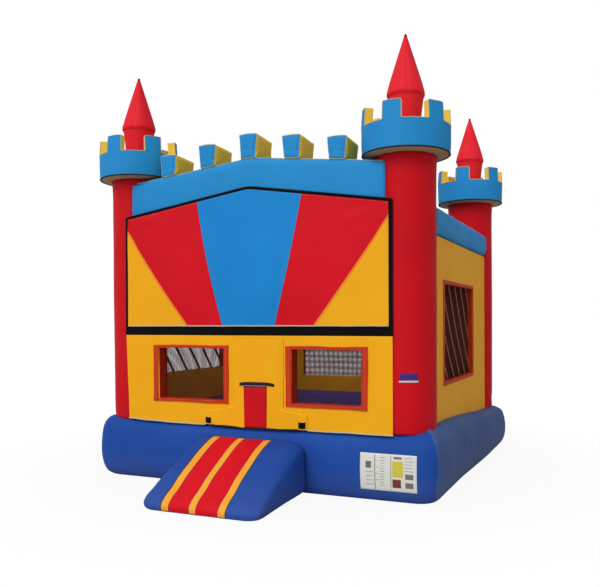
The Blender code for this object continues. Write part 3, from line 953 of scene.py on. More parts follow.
def inflate(obj: bpy.types.Object, pressure: float = 4.0, reach: float = 0.03, frames: int = 20) -> None:
    """Blow up a closed skin as cloth under pressure; its own grid is even, so it keeps its faces.

    Args:
        obj: the piece, a little smaller than it ends up.
        pressure: the air pressure.
        reach: the furthest that a point may move.
        frames: length of the simulation.
    """
    rest = [vert.co.copy() for vert in obj.data.vertices]
    cloth = obj.modifiers.new("air", "CLOTH")
    cloth.settings.use_pressure = True
    cloth.settings.uniform_pressure_force = pressure
    cloth.settings.effector_weights.gravity = 0.0
    cloth.settings.quality = 4
    cloth.point_cache.frame_start, cloth.point_cache.frame_end = 1, frames
    for at in range(1, frames + 1):
        bpy.context.scene.frame_set(at)
    settle(obj)
    bpy.context.scene.frame_set(1)
    for vert, start in zip(obj.data.vertices, rest):
        move = vert.co - start
        if move.length > reach:
            vert.co = start + move.normalized() * reach


# ---- base ----
@dataclass
class BumperBase:
    """The bumper tubes as one skin around the jumping mattress."""

    corner: float = 0.165
    straight: int = 72
    bend: int = 14
    wave: float = 0.006
    pucker: float = 0.007

    def ring(self, depth: float, height: float) -> list[Point]:
        """The square ring that one point of the section runs along.

        Args:
            depth: its distance from the centre.
            height: its height.

        Returns:
            The ring's points.
        """
        inner = -SIZES.base[1].y
        share = (depth - inner) / (SIZES.base_half - inner)
        radius = 0.02 + self.corner * max(share, 0.0) ** 2.2
        points = []
        for side in Side:
            run = depth - radius
            for x in spread(-run, run, self.straight):
                points.append(turned((x, -depth, height), side))
            for n in range(1, self.bend):
                angle = math.radians(-90 + 90 * n / self.bend)
                spot = (run + radius * math.cos(angle), -run + radius * math.sin(angle), height)
                points.append(turned(spot, side))
        return [self.settled(point, share) for point in points]

    def settled(self, point: Vector, share: float) -> Point:
        """Add the film's slack to a point of the ring.

        Args:
            point: the point.
            share: 0 at the inner wall, 1 at the outer face.

        Returns:
            The point with waves and puckers.
        """
        top = SIZES.rise(point.x, point.y) * (max(point.z, 0.0) / SIZES.base_top) ** 2
        if share <= 0.05 or point.z < 0.004:
            return tuple(point + SIZES.bulge(point) * share + Vector((0, 0, top * (share > 0.05))))
        out = Vector((point.x, point.y, 0)).normalized()
        slack = self.wave * wobble((point.x, point.y, point.z * 1.6), 0.55) + 0.002 * wobble(point, 0.16, 3.0)
        moved = point + out * slack * (share if point.z < SIZES.base_top - 0.02 else 0.3)
        moved.z += 0.3 * slack
        for sx, sy in CORNERS.values():
            away = Vector((point.x - sx * SIZES.column_at, point.y - sy * SIZES.column_at))
            near = math.exp(-((away.length - SIZES.column_r - 0.04) / 0.06) ** 2)
            if near > 0.01 and point.z > 0.5:
                angle = math.atan2(away.y, away.x)
                moved.z += self.pucker * near * math.cos(15 * angle + 2 * wobble(point, 0.4)) - 0.004 * near
        ridge = abs(point.x - 0.1 + point.y) / 0.05
        if point.x > 1.6 and point.y < 0:
            moved += Vector((0.5, -0.5, 0.7)) * 0.022 * math.exp(-ridge ** 2) * SIZES.smooth(point.z, 0.25, 0.6)
        return tuple(moved + SIZES.bulge(point) * share + Vector((0, 0, top)))

    def build(self) -> None:
        """Make the bumper ring and its welds."""
        rows = [self.ring(depth, height) for depth, height in SIZES.shoulder()]
        ring = Skin().rows(rows, around=True, looped=True).piece("bumper_ring", [ROYAL, ROYAL_PAINTED_SHEEN])
        # Faces on the base's right side take the greyer royal copy, which paints the sheen on that face.
        for face in ring.data.polygons:
            face.material_index = int(face.center.x > max(1.62, face.center.y + 0.02, 0.1 - face.center.y))
        boxes = ("base_front", "base_right", "base_rear", "base_left")
        hand_in(ring, Body.CASTLE, "royal_vinyl", *boxes)
        section = SIZES.shoulder()
        weld = min(section, key=lambda point: abs(point[1] - 0.055) + (point[0] < SIZES.base_half - 0.2))
        line = self.ring(weld[0] + 0.0005, weld[1])
        seam = tube(edge_line("base_lower_weld", [[*line, line[0]]]), ROYAL, 0.0022, 0.03, 6)
        hand_in(seam, Body.CASTLE, "royal_vinyl")


@dataclass
class JumpFloor:
    """The jumping mattress with its sewn channels."""

    channels: int = 9
    depth: float = 0.055

    def build(self) -> None:
        """Make the mattress."""
        low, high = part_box("bounce_floor")
        half, top = high.x - 0.001, high.z
        steps = self.channels * 10
        rows = []
        for n in range(steps + 1):
            x = -half + 2 * half * n / steps
            crown = abs(math.sin(math.pi * self.channels * n / steps))
            height = top - self.depth * (1 - crown ** 0.6)
            top_row = [(x, y, height + 0.004 * wobble((x, y, 0), 0.3)) for y in spread(-half, half, 40)]
            rows.append([(x, -half, low.z + 0.02), *top_row, (x, half, low.z + 0.02)])
        skin = Skin().rows(rows)
        for row in (rows[0], rows[-1]):
            skin.fan(row, (row[0][0], 0, low.z + 0.02))
        skin.rows([[row[0] for row in rows], [row[-1] for row in rows]])
        floor = skin.piece("jump_mattress", [SKY])
        hand_in(floor, Body.CASTLE, "royal_vinyl", "bounce_floor")


# ---- columns, turrets, spires ----
@dataclass
class Column:
    """One round air column."""

    corner: str
    around: int = 96
    along: int = 110
    welds: tuple = (20.0, 200.0)

    def radius(self, angle: float, height: float) -> float:
        """Radius of the skin, with its two long welds, end gathers and slack.

        Args:
            angle: angle about the axis in degrees.
            height: height above the ground.

        Returns:
            The radius.
        """
        low, high = SIZES.column[0].z, SIZES.column[1].z
        share = (height - low) / (high - low)
        radius = SIZES.column_r - 0.002 + 0.004 * math.sin(math.pi * share)
        for weld in self.welds:
            off = (angle - weld + 180) % 360 - 180
            radius -= 0.006 * math.exp(-(off / 1.6) ** 2)
        for end, sharp, pinch in ((low, 0.07, 0.010), (high, 0.12, -0.010)):
            near = math.exp(-abs(height - end) / sharp)
            phase = angle * 14 + 40 * wobble((angle / 60, 0, end), 1)
            radius -= near * (pinch + 0.003 * math.cos(math.radians(phase)))
        a = math.radians(angle)
        return radius + 0.003 * wobble((math.cos(a), math.sin(a), height * 1.2), 0.45, len(self.corner))

    def build(self) -> None:
        """Make the column."""
        sx, sy = CORNERS[self.corner]
        cx, cy = sx * SIZES.column_at, sy * SIZES.column_at
        rows = []
        low, high = SIZES.column[0].z, SIZES.column[1].z
        for height in spread(low - 0.012 + min(SIZES.rise(cx, cy), 0.0), high, self.along):
            cx = sx * SIZES.column_at + (0.026 * (1 - (height - low) / (high - low)) if sx + sy < -1 else 0.0)
            ring = []
            for n in range(self.around):
                angle = 360 * n / self.around
                r, a = self.radius(angle, height), math.radians(angle)
                ring.append((cx + r * math.cos(a), cy + r * math.sin(a), height))
            rows.append(ring)
        skin = Skin().rows(rows, around=True)
        for row in (rows[0], rows[-1]):
            skin.fan(row, (sum(point[0] for point in row) / len(row), cy, row[0][2]))
        name = f"column_{self.corner}"
        hand_in(skin.piece(f"{name}_skin", [RED]), Body.CASTLE, "red_vinyl", name)


@dataclass
class Turret:
    """A padded cup with merlons, cream piping that also paints the highlights along its crenel edges, and a pale
    underside darkened with painted shade.
    """

    corner: str
    merlons: int = 6
    half_angle: float = 12.5
    phase: float = -92.0
    hem: float = 1.3
    floor_r: float = 0.14
    wall: float = 0.089
    bulge: float = 0.010

    def __post_init__(self) -> None:
        """Read the cup's box."""
        self.name = f"turret_{self.corner}"
        self.low, self.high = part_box(self.name)
        self.radius = (self.high.x - self.low.x) / 2
        self.axis = (self.low + self.high) / 2
        self.crenel = self.high.z - 0.18

    def angles(self) -> list[float]:
        """Grid lines around the cup in radians, with loops beside each merlon's sides.

        Returns:
            The angles.
        """
        pitch = 360 / self.merlons
        out = []
        for n in range(self.merlons):
            middle = n * pitch + self.phase
            half, hem = self.half_angle, self.hem
            marks = [-half, -half + hem, -6, 0, 6, half - hem, half, half + hem, 22, 30, 38, pitch - half - hem]
            out += [math.radians(middle + mark) for mark in marks]
        return out

    def solid(self, angle: float, radius: float, height: float) -> bool:
        """Whether the cup fills a place.

        Args:
            angle: angle around the axis.
            radius: distance from it.
            height: height.

        Returns:
            True where it is filled.
        """
        if height < self.low.z + 0.06:
            return True
        if radius < self.radius - self.wall:
            return False
        off = (math.degrees(angle) - self.phase + 180 / self.merlons) % (360 / self.merlons) - 180 / self.merlons
        return height < self.crenel or abs(off) < self.half_angle

    def spot(self, angle: float, radius: float, height: float) -> Point:
        """Where a grid point lies, with the cup's barrel shape and its slack.

        Args:
            angle: angle about the axis.
            radius: distance from the axis.
            height: height above the ground.

        Returns:
            The point.
        """
        share = (height - self.low.z) / (self.high.z - self.low.z)
        if radius > self.radius - self.wall - 0.001:
            flare = self.bulge * (1 - (2 * share - 0.9) ** 2) - self.bulge
            radius += flare + 0.003 * wobble((math.cos(angle), math.sin(angle), height * 3), 0.5, len(self.corner))
        if radius > self.radius - 0.06 and share < 0.02:
            height += 0.022
        height += 0.004 * wobble((math.cos(angle) * 2, math.sin(angle) * 2, height), 0.4, 5.0) * (share > 0.5)
        return (self.axis.x + radius * math.cos(angle), self.axis.y + radius * math.sin(angle), height)

    def tint(self, axis: int, step: int, angle: float, radius: float, height: float) -> int:
        """Finish of a face: 0 the outer face, 1 the inner and side faces, 2 the underside with its painted shade, 3
        the floor.

        Args:
            axis: axis the face looks along.
            step: which side of the cell it is on.
            angle: angle around the axis.
            radius: distance from it.
            height: height.

        Returns:
            The number of the finish.
        """
        if axis == 2 and not step and height < self.low.z + 0.05:
            return 2
        if axis == 1 and step and radius > self.radius - 0.03:
            return 0
        return 3 if height < self.low.z + 0.06 else 1

    def build(self) -> None:
        """Make the cup, its piping, which also paints the edge highlights, and a dark cord along its lower rim that
        paints the shade line there.
        """
        radii = [self.floor_r, 0.22, 0.30, self.radius - self.wall, self.radius - self.wall + 0.01,
                 self.radius - 0.01, self.radius]
        heights = [self.low.z, self.low.z + 0.012, self.low.z + 0.05, self.low.z + 0.06, self.low.z + 0.075,
                   self.low.z + 0.18, self.crenel - 0.01, self.crenel, self.crenel + 0.012, self.crenel + 0.09,
                   self.high.z - 0.01, self.high.z]
        skin = Skin().cells(self.angles(), radii, heights, self.solid, self.spot, self.tint, around=True)
        cup = skin.piece(f"{self.name}_cup", [SKY, MERLON_SIDE, SHADED_UNDERSIDE, SKY], soften=2)
        hand_in(cup, Body.CASTLE, "sky_vinyl", self.name)
        thick = 0.006 if self.corner == "rear_right" else 0.004
        edge = tube(seam_line(f"{self.name}_piping", cup, {0, 1}, 0.001), PIPING_AND_HIGHLIGHT, thick, 0.014)
        hand_in(edge, Body.CASTLE, "pale_webbing")
        # A dark cord along the cup's lower rim: painted shade where the rim turns under.
        rim_shade_cord = tube(seam_line(f"{self.name}_lower_edge", cup, {0, 2}, 0.0), DARK_THREAD, 0.0085, 0.014)
        hand_in(rim_shade_cord, Body.CASTLE, "black_webbing")


@dataclass
class Spire:
    """A pointed cone of welded gores on its round neck."""

    corner: str
    gores: int = 6
    around: int = 96

    def build(self) -> None:
        """Make the cone, its neck and its dark tip."""
        name = f"spire_{self.corner}"
        low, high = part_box(name)
        axis, rim = (low + high) / 2, (high.x - low.x) / 2
        sill = high.z - 0.604
        profile = curve_through([(0.14, low.z), (0.150, sill - 0.28), (0.176, sill - 0.05), (0.184, sill - 0.034),
                (rim - 0.014, sill - 0.030), (rim - 0.004, sill - 0.018), (rim - 0.002, sill),
                (rim - 0.008, sill + 0.03), (rim - 0.036, sill + 0.13)], 5)
        tip = [(0.157 * (1 - t) + 0.0125 * t, (sill + 0.13) * (1 - t) + (high.z - 0.014) * t)
               for t in spread(0, 1, 28)][1:]
        nose = [(0.0125 * math.cos(a), high.z - 0.014 + 0.014 * math.sin(a)) for a in spread(0.3, 1.45, 5)]
        rows = []
        for radius, height in profile + tip + nose:
            ring = []
            for n in range(self.around):
                angle = math.tau * n / self.around
                seam = abs(math.sin(self.gores * angle / 2 + 0.5))
                pinch = 0.035 * math.exp(-(seam / 0.10) ** 2) * (height > sill - 0.02)
                fold = 0.008 * math.exp(-((height - sill) / 0.05) ** 2) * math.cos(angle * 17 + 3 * wobble(
                    (math.cos(angle), math.sin(angle), 0), 0.5, len(name)))
                r = radius * (1 - pinch + 0.030 * (seam - 0.7) + fold * (radius > 0.1))
                ring.append((axis.x + r * math.cos(angle), axis.y + r * math.sin(angle), height))
            rows.append(ring)
        edge = len(profile) + len(tip) - 2
        skin = Skin().rows(rows, tint=lambda i, j: int(i >= edge), around=True)
        skin.fan(rows[0], (axis.x, axis.y, low.z)).fan(rows[-1], (axis.x, axis.y, high.z), 1)
        # The cone takes the lighter red copy: painted light on its up-facing film.
        cone = skin.piece(f"{name}_cone", [LIT_SPIRE_RED, BLACK_TAPE])
        hand_in(cone, Body.CASTLE, "red_vinyl", name)


# ---- beams and merlons ----
@dataclass
class Beam:
    """One round beam between two columns; the front one is gabled."""

    name: str
    side: Side
    slope: float = 0.0
    soft: float = 0.02
    round_power: float = 3.4
    welt: float = 0.0045

    def __post_init__(self) -> None:
        """Read the beam's section from its box, as if it were on the front."""
        low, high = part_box(self.name)
        corners = [turned(point, Side((4 - self.side.value) % 4)) for point in (low, high)]
        self.out = -min(point.y for point in corners)
        self.back = -max(point.y for point in corners)
        self.top = high.z
        self.tall = 0.44 if self.slope else high.z - low.z

    def crest(self, x: float) -> float:
        """Height of the beam's top at x."""
        return self.top - self.slope * (math.sqrt(x * x + self.soft ** 2) - self.soft)

    def section(self, count: int = 48) -> list[Pair]:
        """The section's depth and drop below the crest.

        Args:
            count: number of points.

        Returns:
            The points.
        """
        middle, half, points = (self.out + self.back) / 2, (self.out - self.back) / 2, []
        for n in range(count):
            angle = math.tau * n / count
            c, s = math.cos(angle), math.sin(angle)
            power = 2 / self.round_power
            points.append((middle + half * bulged(c, power),
                           self.tall / 2 * (1 - bulged(s, power))))
        return points

    def at(self, depth: float, drop: float, share: float) -> Point:
        """A point of the skin.

        Args:
            depth: distance from the centre.
            drop: distance below the crest.
            share: place along the beam, from -1 to 1.

        Returns:
            The point, drawn on the front.
        """
        x = share * (1.50 if self.slope else 1.41)
        slack = 0.004 * wobble((x, depth, drop), 0.35, self.side.value) * (1 - abs(share) ** 6)
        gather = math.exp(-(1 - abs(share)) / 0.04) * 0.005 * math.cos(drop * 90 + depth * 70)
        return (x, -depth - slack - gather * (depth > (self.out + self.back) / 2), self.crest(x) - drop + slack)

    def build(self) -> None:
        """Make the beam and the piping on its crest, which also paints the highlight along the crest."""
        section = self.section()
        rows = [[self.at(depth, drop, share) for depth, drop in section] for share in spread(-1, 1, 90)]
        skin = Skin().rows(rows, around=True)
        middle = ((self.out + self.back) / 2, self.tall / 2)
        for row, share in ((rows[0], -1), (rows[-1], 1)):
            skin.fan(row, self.at(*middle, share))
        beam = skin.piece(f"{self.name}_skin", [SKY], self.side)
        hand_in(beam, Body.CASTLE, "sky_vinyl", self.name)
        depth, drop = section[8]
        line = [self.at(depth + 0.001, drop - 0.001, share) for share in spread(-0.99, 0.99, 60)]
        welt = tube(edge_line(f"{self.name}_piping", [line], self.side), PIPING_AND_HIGHLIGHT, self.welt)
        hand_in(welt, Body.CASTLE, "pale_webbing")


@dataclass
class Merlon:
    """A flared padded block on the front beam: blue in front, yellow all round."""

    index: int
    beam: Beam
    hem: float = 0.008

    def build(self) -> None:
        """Make the block and its front piping, which also paints the highlight along its front edges."""
        name = f"merlon_{self.index}"
        low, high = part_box(name)
        x, half = (low.x + high.x) / 2, (high.x - low.x) / 2
        top = high.z
        xs = loops_at((-1.0, 1.0), 0.35, self.hem / half)
        ys = loops_at((low.y, low.y + 0.045, high.y), 0.09, self.hem)
        zs = loops_at((0.0, 0.34, 1.0), 0.22, 0.06)

        def spot(across: float, y: float, share: float) -> Point:
            """A point of the flared block; its rear is narrower and rounder.

            Args:
                across: place across, from -1 to 1.
                y: place in depth.
                share: share of the height.

            Returns:
                The moved point.
            """
            rear = (y - low.y) / (high.y - low.y)
            wide = half * (0.80 + 0.20 * share) * (1 - 0.10 * rear ** 2)
            base = self.beam.crest(x + across * wide) - 0.012
            crown = 0.010 * (1 - across * across) - 0.012 * rear
            height = base + (top + crown * share - base) * share
            swell = 0.003 * math.sin(math.pi * share) * across
            slack = 0.004 * wobble((across, y * 6, share * 2), 0.7, self.index)
            dent = -0.004 * math.exp(-((share - 0.34) / 0.05) ** 2) * (rear < 0.05)
            return (x + across * wide + swell + slack, y - 0.006 * rear - dent, height + slack)

        def tint(axis: int, step: int, *_: float) -> int:
            """0 for the front face, 1 elsewhere."""
            return 0 if axis == 1 and not step else 1

        skin = Skin().cells(xs, ys, zs, lambda *_: True, spot, tint)
        block = skin.piece(f"{name}_block", [SKY, MERLON_SIDE], soften=2)
        inflate(block, reach=0.006)
        hand_in(block, Body.CASTLE, "yellow_vinyl", name)
        edge = tube(seam_line(f"{name}_piping", block, {0, 1}, 0.0), PIPING_AND_HIGHLIGHT, 0.0024, 0.012)
        hand_in(edge, Body.CASTLE, "pale_webbing")
        front = low.y - 0.0005
        line = [(x + across * half * 0.9, front, low.z + 0.36 * (top - low.z)) for across in spread(-1, 1, 9)]
        sewn_on(f"{name}_stitches", [line], finish=DARK_THREAD)


# ---- walls, window frames and nets ----
def ranged(node_name: str, side: Side) -> tuple[Vector, Vector]:
    """A solid's box, as if it were drawn on the front.

    Args:
        node_name: the solid.
        side: the side that it stands on.

    Returns:
        The lowest and highest corners.
    """
    low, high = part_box(node_name)
    ends = [turned(point, Side((4 - side.value) % 4)) for point in (low, high)]
    return (Vector([min(a, b) for a, b in zip(*ends)]), Vector([max(a, b) for a, b in zip(*ends)]))


@dataclass
class Opening:
    """A window or a doorway: its span along the wall and its heights."""

    across: Pair
    heights: Pair
    reveal: int = 1

    def holds(self, x: float, z: float) -> bool:
        """Whether a place on the wall is inside the opening."""
        return self.across[0] < x < self.across[1] and self.heights[0] < z < self.heights[1]


@dataclass
class Wall:
    """One windowed wall, slightly puffed between its openings."""

    name: str
    side: Side
    openings: list[Opening]
    puff: float = 0.012
    hem: float = 0.012

    def __post_init__(self) -> None:
        """Read the wall's box."""
        self.low, self.high = ranged(self.name, self.side)
        self.half = self.high.x

    def spot(self, x: float, y: float, z: float) -> Point:
        """Where a grid point lies: the ends follow the columns, the faces swell.

        Args:
            x: distance along the wall.
            y: depth, negative outwards.
            z: height.

        Returns:
            The point.
        """
        start = 0.80 * self.half
        most = self.half if self.side is Side.FRONT else 9.0
        end = SIZES.end_at(-y, most)
        along = x
        if abs(x) > start:
            along = math.copysign(start + (abs(x) - start) * (end - start) / (self.half - start), x)
        if self.side is Side.FRONT:
            along += 0.05 * SIZES.smooth(-x, 0.9, 1.6) * (1 - SIZES.smooth(z, 0.4, 2.0))
        outward = -1 if y < (self.low.y + self.high.y) / 2 else 1
        edge = min((min(abs(x - a) for o in self.openings for a in o.across) if self.openings else 1.0), 0.2) / 0.2
        swell = self.puff * (0.35 + 0.65 * edge) * (0.6 + 0.4 * wobble((x, z, 0), 0.6, self.side.value))
        ripple = 0.0035 * wobble((x, z * 1.4, outward), 0.2, 2.0 + self.side.value)
        return (along, y + outward * 0.35 * swell + ripple, z + self.foot(x, z))

    def foot(self, x: float, z: float) -> float:
        """How far a point near the wall's foot is moved up, to lie on the base and behind the door flap.

        Args:
            x: place along the wall.
            z: height.

        Returns:
            The lift in metres.
        """
        near = 1 - SIZES.smooth(z, self.low.z, self.low.z + 0.25)
        lift = 0.006 * wobble((x, 0, 0), 0.25, 4.0)
        if self.side is Side.RIGHT:
            lift += SIZES.rise(1.63, x) * 0.9
        elif self.side is Side.FRONT:
            lift += 0.02 * SIZES.smooth(-x, 1.0, 1.6)
            lift += 0.028 * SIZES.smooth(x, -0.54, -0.47) * (1 - SIZES.smooth(x, 0.62, 0.69))
        return lift * near

    def tint(self, axis: int, step: int, x: float, y: float, z: float) -> int:
        """Finish of a face: 0 the wall, and an opening's own finish on its reveals; the front and side windows' reveal
        finish is darkened as painted shade.

        Args:
            axis: axis the face looks along.
            step: which side of the cell it is on.
            x: place across.
            y: place in depth.
            z: height.

        Returns:
            The number of the finish.
        """
        if axis == 1:
            return 0
        for opening in self.openings:
            grown = Opening((opening.across[0] - 0.03, opening.across[1] + 0.03),
                            (opening.heights[0] - 0.03, opening.heights[1] + 0.03))
            if grown.holds(x, z):
                return opening.reveal
        return 0

    def build(self) -> None:
        """Make the wall."""
        drop = 0.022 if self.side is Side.FRONT else 0.014
        xs = loops_at([-self.half, self.half, *(a for o in self.openings for a in o.across)], 0.09, self.hem)
        heights = [h for o in self.openings for h in o.heights]
        zs = loops_at([self.low.z - drop, self.high.z, *heights], 0.09, self.hem)
        ys = loops_at((self.low.y, self.high.y), 0.09, self.hem)
        skin = Skin().cells(xs, ys, zs, lambda x, y, z: not any(o.holds(x, z) for o in self.openings),
                self.spot, self.tint)
        wall = skin.piece(f"{self.name}_skin", [YELLOW, SHADED_REVEAL, AMBER], self.side, soften=1)
        hand_in(wall, Body.CASTLE, "yellow_vinyl", self.name)
        self.bottom_piping()

    def bottom_piping(self) -> None:
        """Pale piping along the wall's lower edge, which on the front also paints the thin line of light there; on the
        front it stops at the door's tabs.
        """
        face, height = self.low.y - 0.003, self.low.z - 0.018
        if self.side is Side.FRONT:
            spans = [(-self.half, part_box("door_tab_left")[0].x), (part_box("door_tab_right")[1].x, self.half)]
        else:
            end = SIZES.end_at(-self.low.y)
            spans = [(-end, end)]
        lines = [[(*self.spot(x, face, self.low.z - 0.014)[:1], face, height + self.foot(x, self.low.z))
                  for x in spread(*span, 40)] for span in spans]
        finish = PIPING_AND_HIGHLIGHT if self.side is Side.FRONT else AMBER
        radius = 0.0075 if self.side is Side.FRONT else 0.013
        piping = tube(edge_line(f"{self.name}_piping", lines, self.side), finish, radius, 0.02)
        hand_in(piping, Body.CASTLE, finish.slot)


@dataclass
class WindowFrame:
    """A flat welded band around a window."""

    name: str
    side: Side
    uneven: float = 0.012
    finish: Film = ORANGE

    def build(self, opening: Opening) -> None:
        """Make the band and the stitches along its middle.

        Args:
            opening: the window that it goes around.
        """
        low, high = ranged(self.name, self.side)
        (x0, x1), (z0, z1) = opening.across, opening.heights
        xs = loops_at((low.x, x0, x1, high.x), 0.06, 0.006)
        zs = loops_at((low.z, z0, z1, high.z), 0.06, 0.006)

        def spot(x: float, y: float, z: float) -> Point:
            """A point of the band, its edges a little uneven and its corners rounded.

            Args:
                x: place across.
                y: place in depth.
                z: height.

            Returns:
                The moved point.
            """
            fade = 1.0 if y < (low.y + high.y) / 2 else 0.6
            crumple = self.uneven * (wobble((x, z, 0), 0.13, len(self.name)) + wobble((x, z, 0), 0.5, x > 0)) / 1.4
            lift = 0.006 * wobble((x, z, 0), 0.3, 5.0 + len(self.name))
            return (x + crumple, y - 0.004 * fade + lift * 0.4, z + crumple * 0.6)

        skin = Skin().cells(xs, (low.y, high.y), zs, lambda x, y, z: not opening.holds(x, z), spot, lambda *_: 0)
        band = skin.piece(f"{self.name}_band", [self.finish], self.side, soften=1)
        hand_in(band, Body.CASTLE, "orange_red_vinyl", self.name)
        face, middle = low.y - 0.0045, (x0 - low.x) / 2
        loop = [(x0 - middle, z0 - middle), (x1 + middle, z0 - middle), (x1 + middle, z1 + middle),
                (x0 - middle, z1 + middle), (x0 - middle, z0 - middle)]
        line = [(a[0] + (b[0] - a[0]) * t, face, a[1] + (b[1] - a[1]) * t)
                for a, b in zip(loop, loop[1:]) for t in spread(0, 0.95, 20)]
        sewn_on(f"{self.name}_stitches", [line + [line[0]]], 0.012, (0.008, 0.0018, 0.0018), self.side)


@dataclass
class WindowNet:
    """A net of fine cords stretched across an opening."""

    name: str
    side: Side
    pitch: float = 0.022
    cord: float = 0.0011
    sag: float = 0.012

    def line(self, low: Vector, high: Vector, along_x: bool, at: float) -> list[Point]:
        """One cord of the net, slightly bellied.

        Args:
            low: the net's lowest corner.
            high: its highest corner.
            along_x: whether the cord runs sideways.
            at: its place across.

        Returns:
            The cord's points.
        """
        points = []
        for t in spread(0, 1, 13):
            x = low.x + (high.x - low.x) * t if along_x else at
            z = at if along_x else low.z + (high.z - low.z) * t
            belly = math.sin(math.pi * (x - low.x) / (high.x - low.x)) * math.sin(
                math.pi * (z - low.z) / (high.z - low.z))
            points.append((x, high.y - 0.001 - self.sag * belly, z))
        return points

    def build(self, top: Callable[[float], float] | None = None) -> None:
        """Make the net.

        Args:
            top: height of the net's upper edge at x, where it isn't level.
        """
        low, high = ranged(self.name, self.side)
        wide, tall = high.x - low.x, high.z - low.z
        lines = []
        for x in spread(low.x + 0.002, high.x - 0.002, round(wide / self.pitch) + 1):
            line = self.line(low, high, False, x)
            lines.append([p for p in line if not top or p[2] < top(x)])
        for z in spread(low.z + 0.002, high.z - 0.002, round(tall / self.pitch) + 1):
            line = self.line(low, high, True, z)
            kept = [p for p in line if not top or p[2] < top(p[0])]
            if len(kept) > 1:
                lines.append(kept)
        net = tube(edge_line(f"{self.name}_cords", lines, self.side), NET, self.cord, self.pitch * 4, 4)
        hand_in(net, Body.CASTLE, "safety_net", self.name)


@dataclass
class WindowStraps:
    """Webbing straps that run slantwise across a side window, in front of its net."""

    name: str
    side: Side
    count: int = 5
    width: float = 0.055
    slant: float = 0.84

    def build(self, opening: Opening, depth: float) -> None:
        """Make the straps.

        Args:
            opening: the window.
            depth: their distance from the castle's centre.
        """
        (x0, x1), (z0, z1) = opening.across, opening.heights
        flip = 1 if self.side is Side.RIGHT else -1
        skin = Skin()
        tall = z1 - z0
        for n in range(-3, self.count + 1):
            gone = (n + 0.2) * (x1 - x0) / self.count
            start = x0 + gone if flip > 0 else x1 - gone
            rows = []
            for t in spread(0, 1, 26):
                middle = start + flip * self.slant * tall * t
                pair = [min(max(middle + side * self.width / 2, x0), x1) for side in (-1, 1)]
                sag = 0.010 * math.sin(math.pi * t) + 0.003 * wobble((n, t * 3, 0), 0.5)
                if pair[1] - pair[0] > 0.004:
                    rows.append([(x, -depth + sag, z1 - tall * t) for x in spread(*pair, 6)])
            if len(rows) > 1:
                skin.rows(rows)
        straps = skin.piece(f"{self.name}_straps", [STRAP], self.side)
        thicken(straps, 0.004, 0.0)
        hand_in(straps, Body.CASTLE, "safety_net")


# ---- front panel ----
def gable_grid(half: float, bottom: float, drop: float, steps: int = 64, rise: int = 30) -> bmesh.types.BMesh:
    """A flat grid in X and Z with the gable's outline.

    Args:
        half: half of its width.
        bottom: height of its lower edge.
        drop: distance below the net's gable.
        steps: columns.
        rise: rows.

    Returns:
        The mesh, at depth 0.
    """
    work = bmesh.new()
    rows = []
    for share in spread(0, 1, rise):
        rows.append([work.verts.new((x, 0, bottom + (SIZES.gable(x, drop) - bottom) * share))
                     for x in spread(-half, half, steps + 1)])
    for low, high in zip(rows, rows[1:]):
        for n in range(steps):
            work.faces.new((low[n], low[n + 1], high[n + 1], high[n]))
    return work


def flat_piece(work: bmesh.types.BMesh, name: str, finishes: Sequence, thickness: float,
               spot: Callable[[Vector, int], Sequence[float]], tint: Callable[[Vector], int],
               subdivide: int = 0) -> bpy.types.Object:
    """Turn a flat mesh in X and Z into a thin piece that hangs on the front.

    Args:
        work: the flat mesh, which is freed.
        name: the object's name.
        finishes: the finishes that the tints number.
        thickness: the film's thickness.
        spot: where a point goes.
        tint: the finish number of a face, from its middle.
        subdivide: levels of subdivision before the film gets its thickness.

    Returns:
        The object.
    """
    for face in work.faces:
        face.material_index = tint(face.calc_center_median())
    for vert in work.verts:
        vert.co = Vector(spot(vert.co, 0))
    bmesh.ops.recalc_face_normals(work, faces=work.faces)
    if work.faces and sum(face.normal.y for face in work.faces) > 0:
        bmesh.ops.reverse_faces(work, faces=work.faces)
    mesh = bpy.data.meshes.new(name)
    work.to_mesh(mesh)
    work.free()
    obj = placed(mesh)
    for finish in finishes:
        mesh.materials.append(finish.material())
    if subdivide:
        finer = obj.modifiers.new("finer", "SUBSURF")
        finer.subdivision_type = "SIMPLE"
        finer.levels = finer.render_levels = subdivide
    thicken(obj, thickness, -1.0)
    obj.data.shade_smooth()
    obj.data.set_sharp_from_angle(angle=math.radians(50))
    return obj


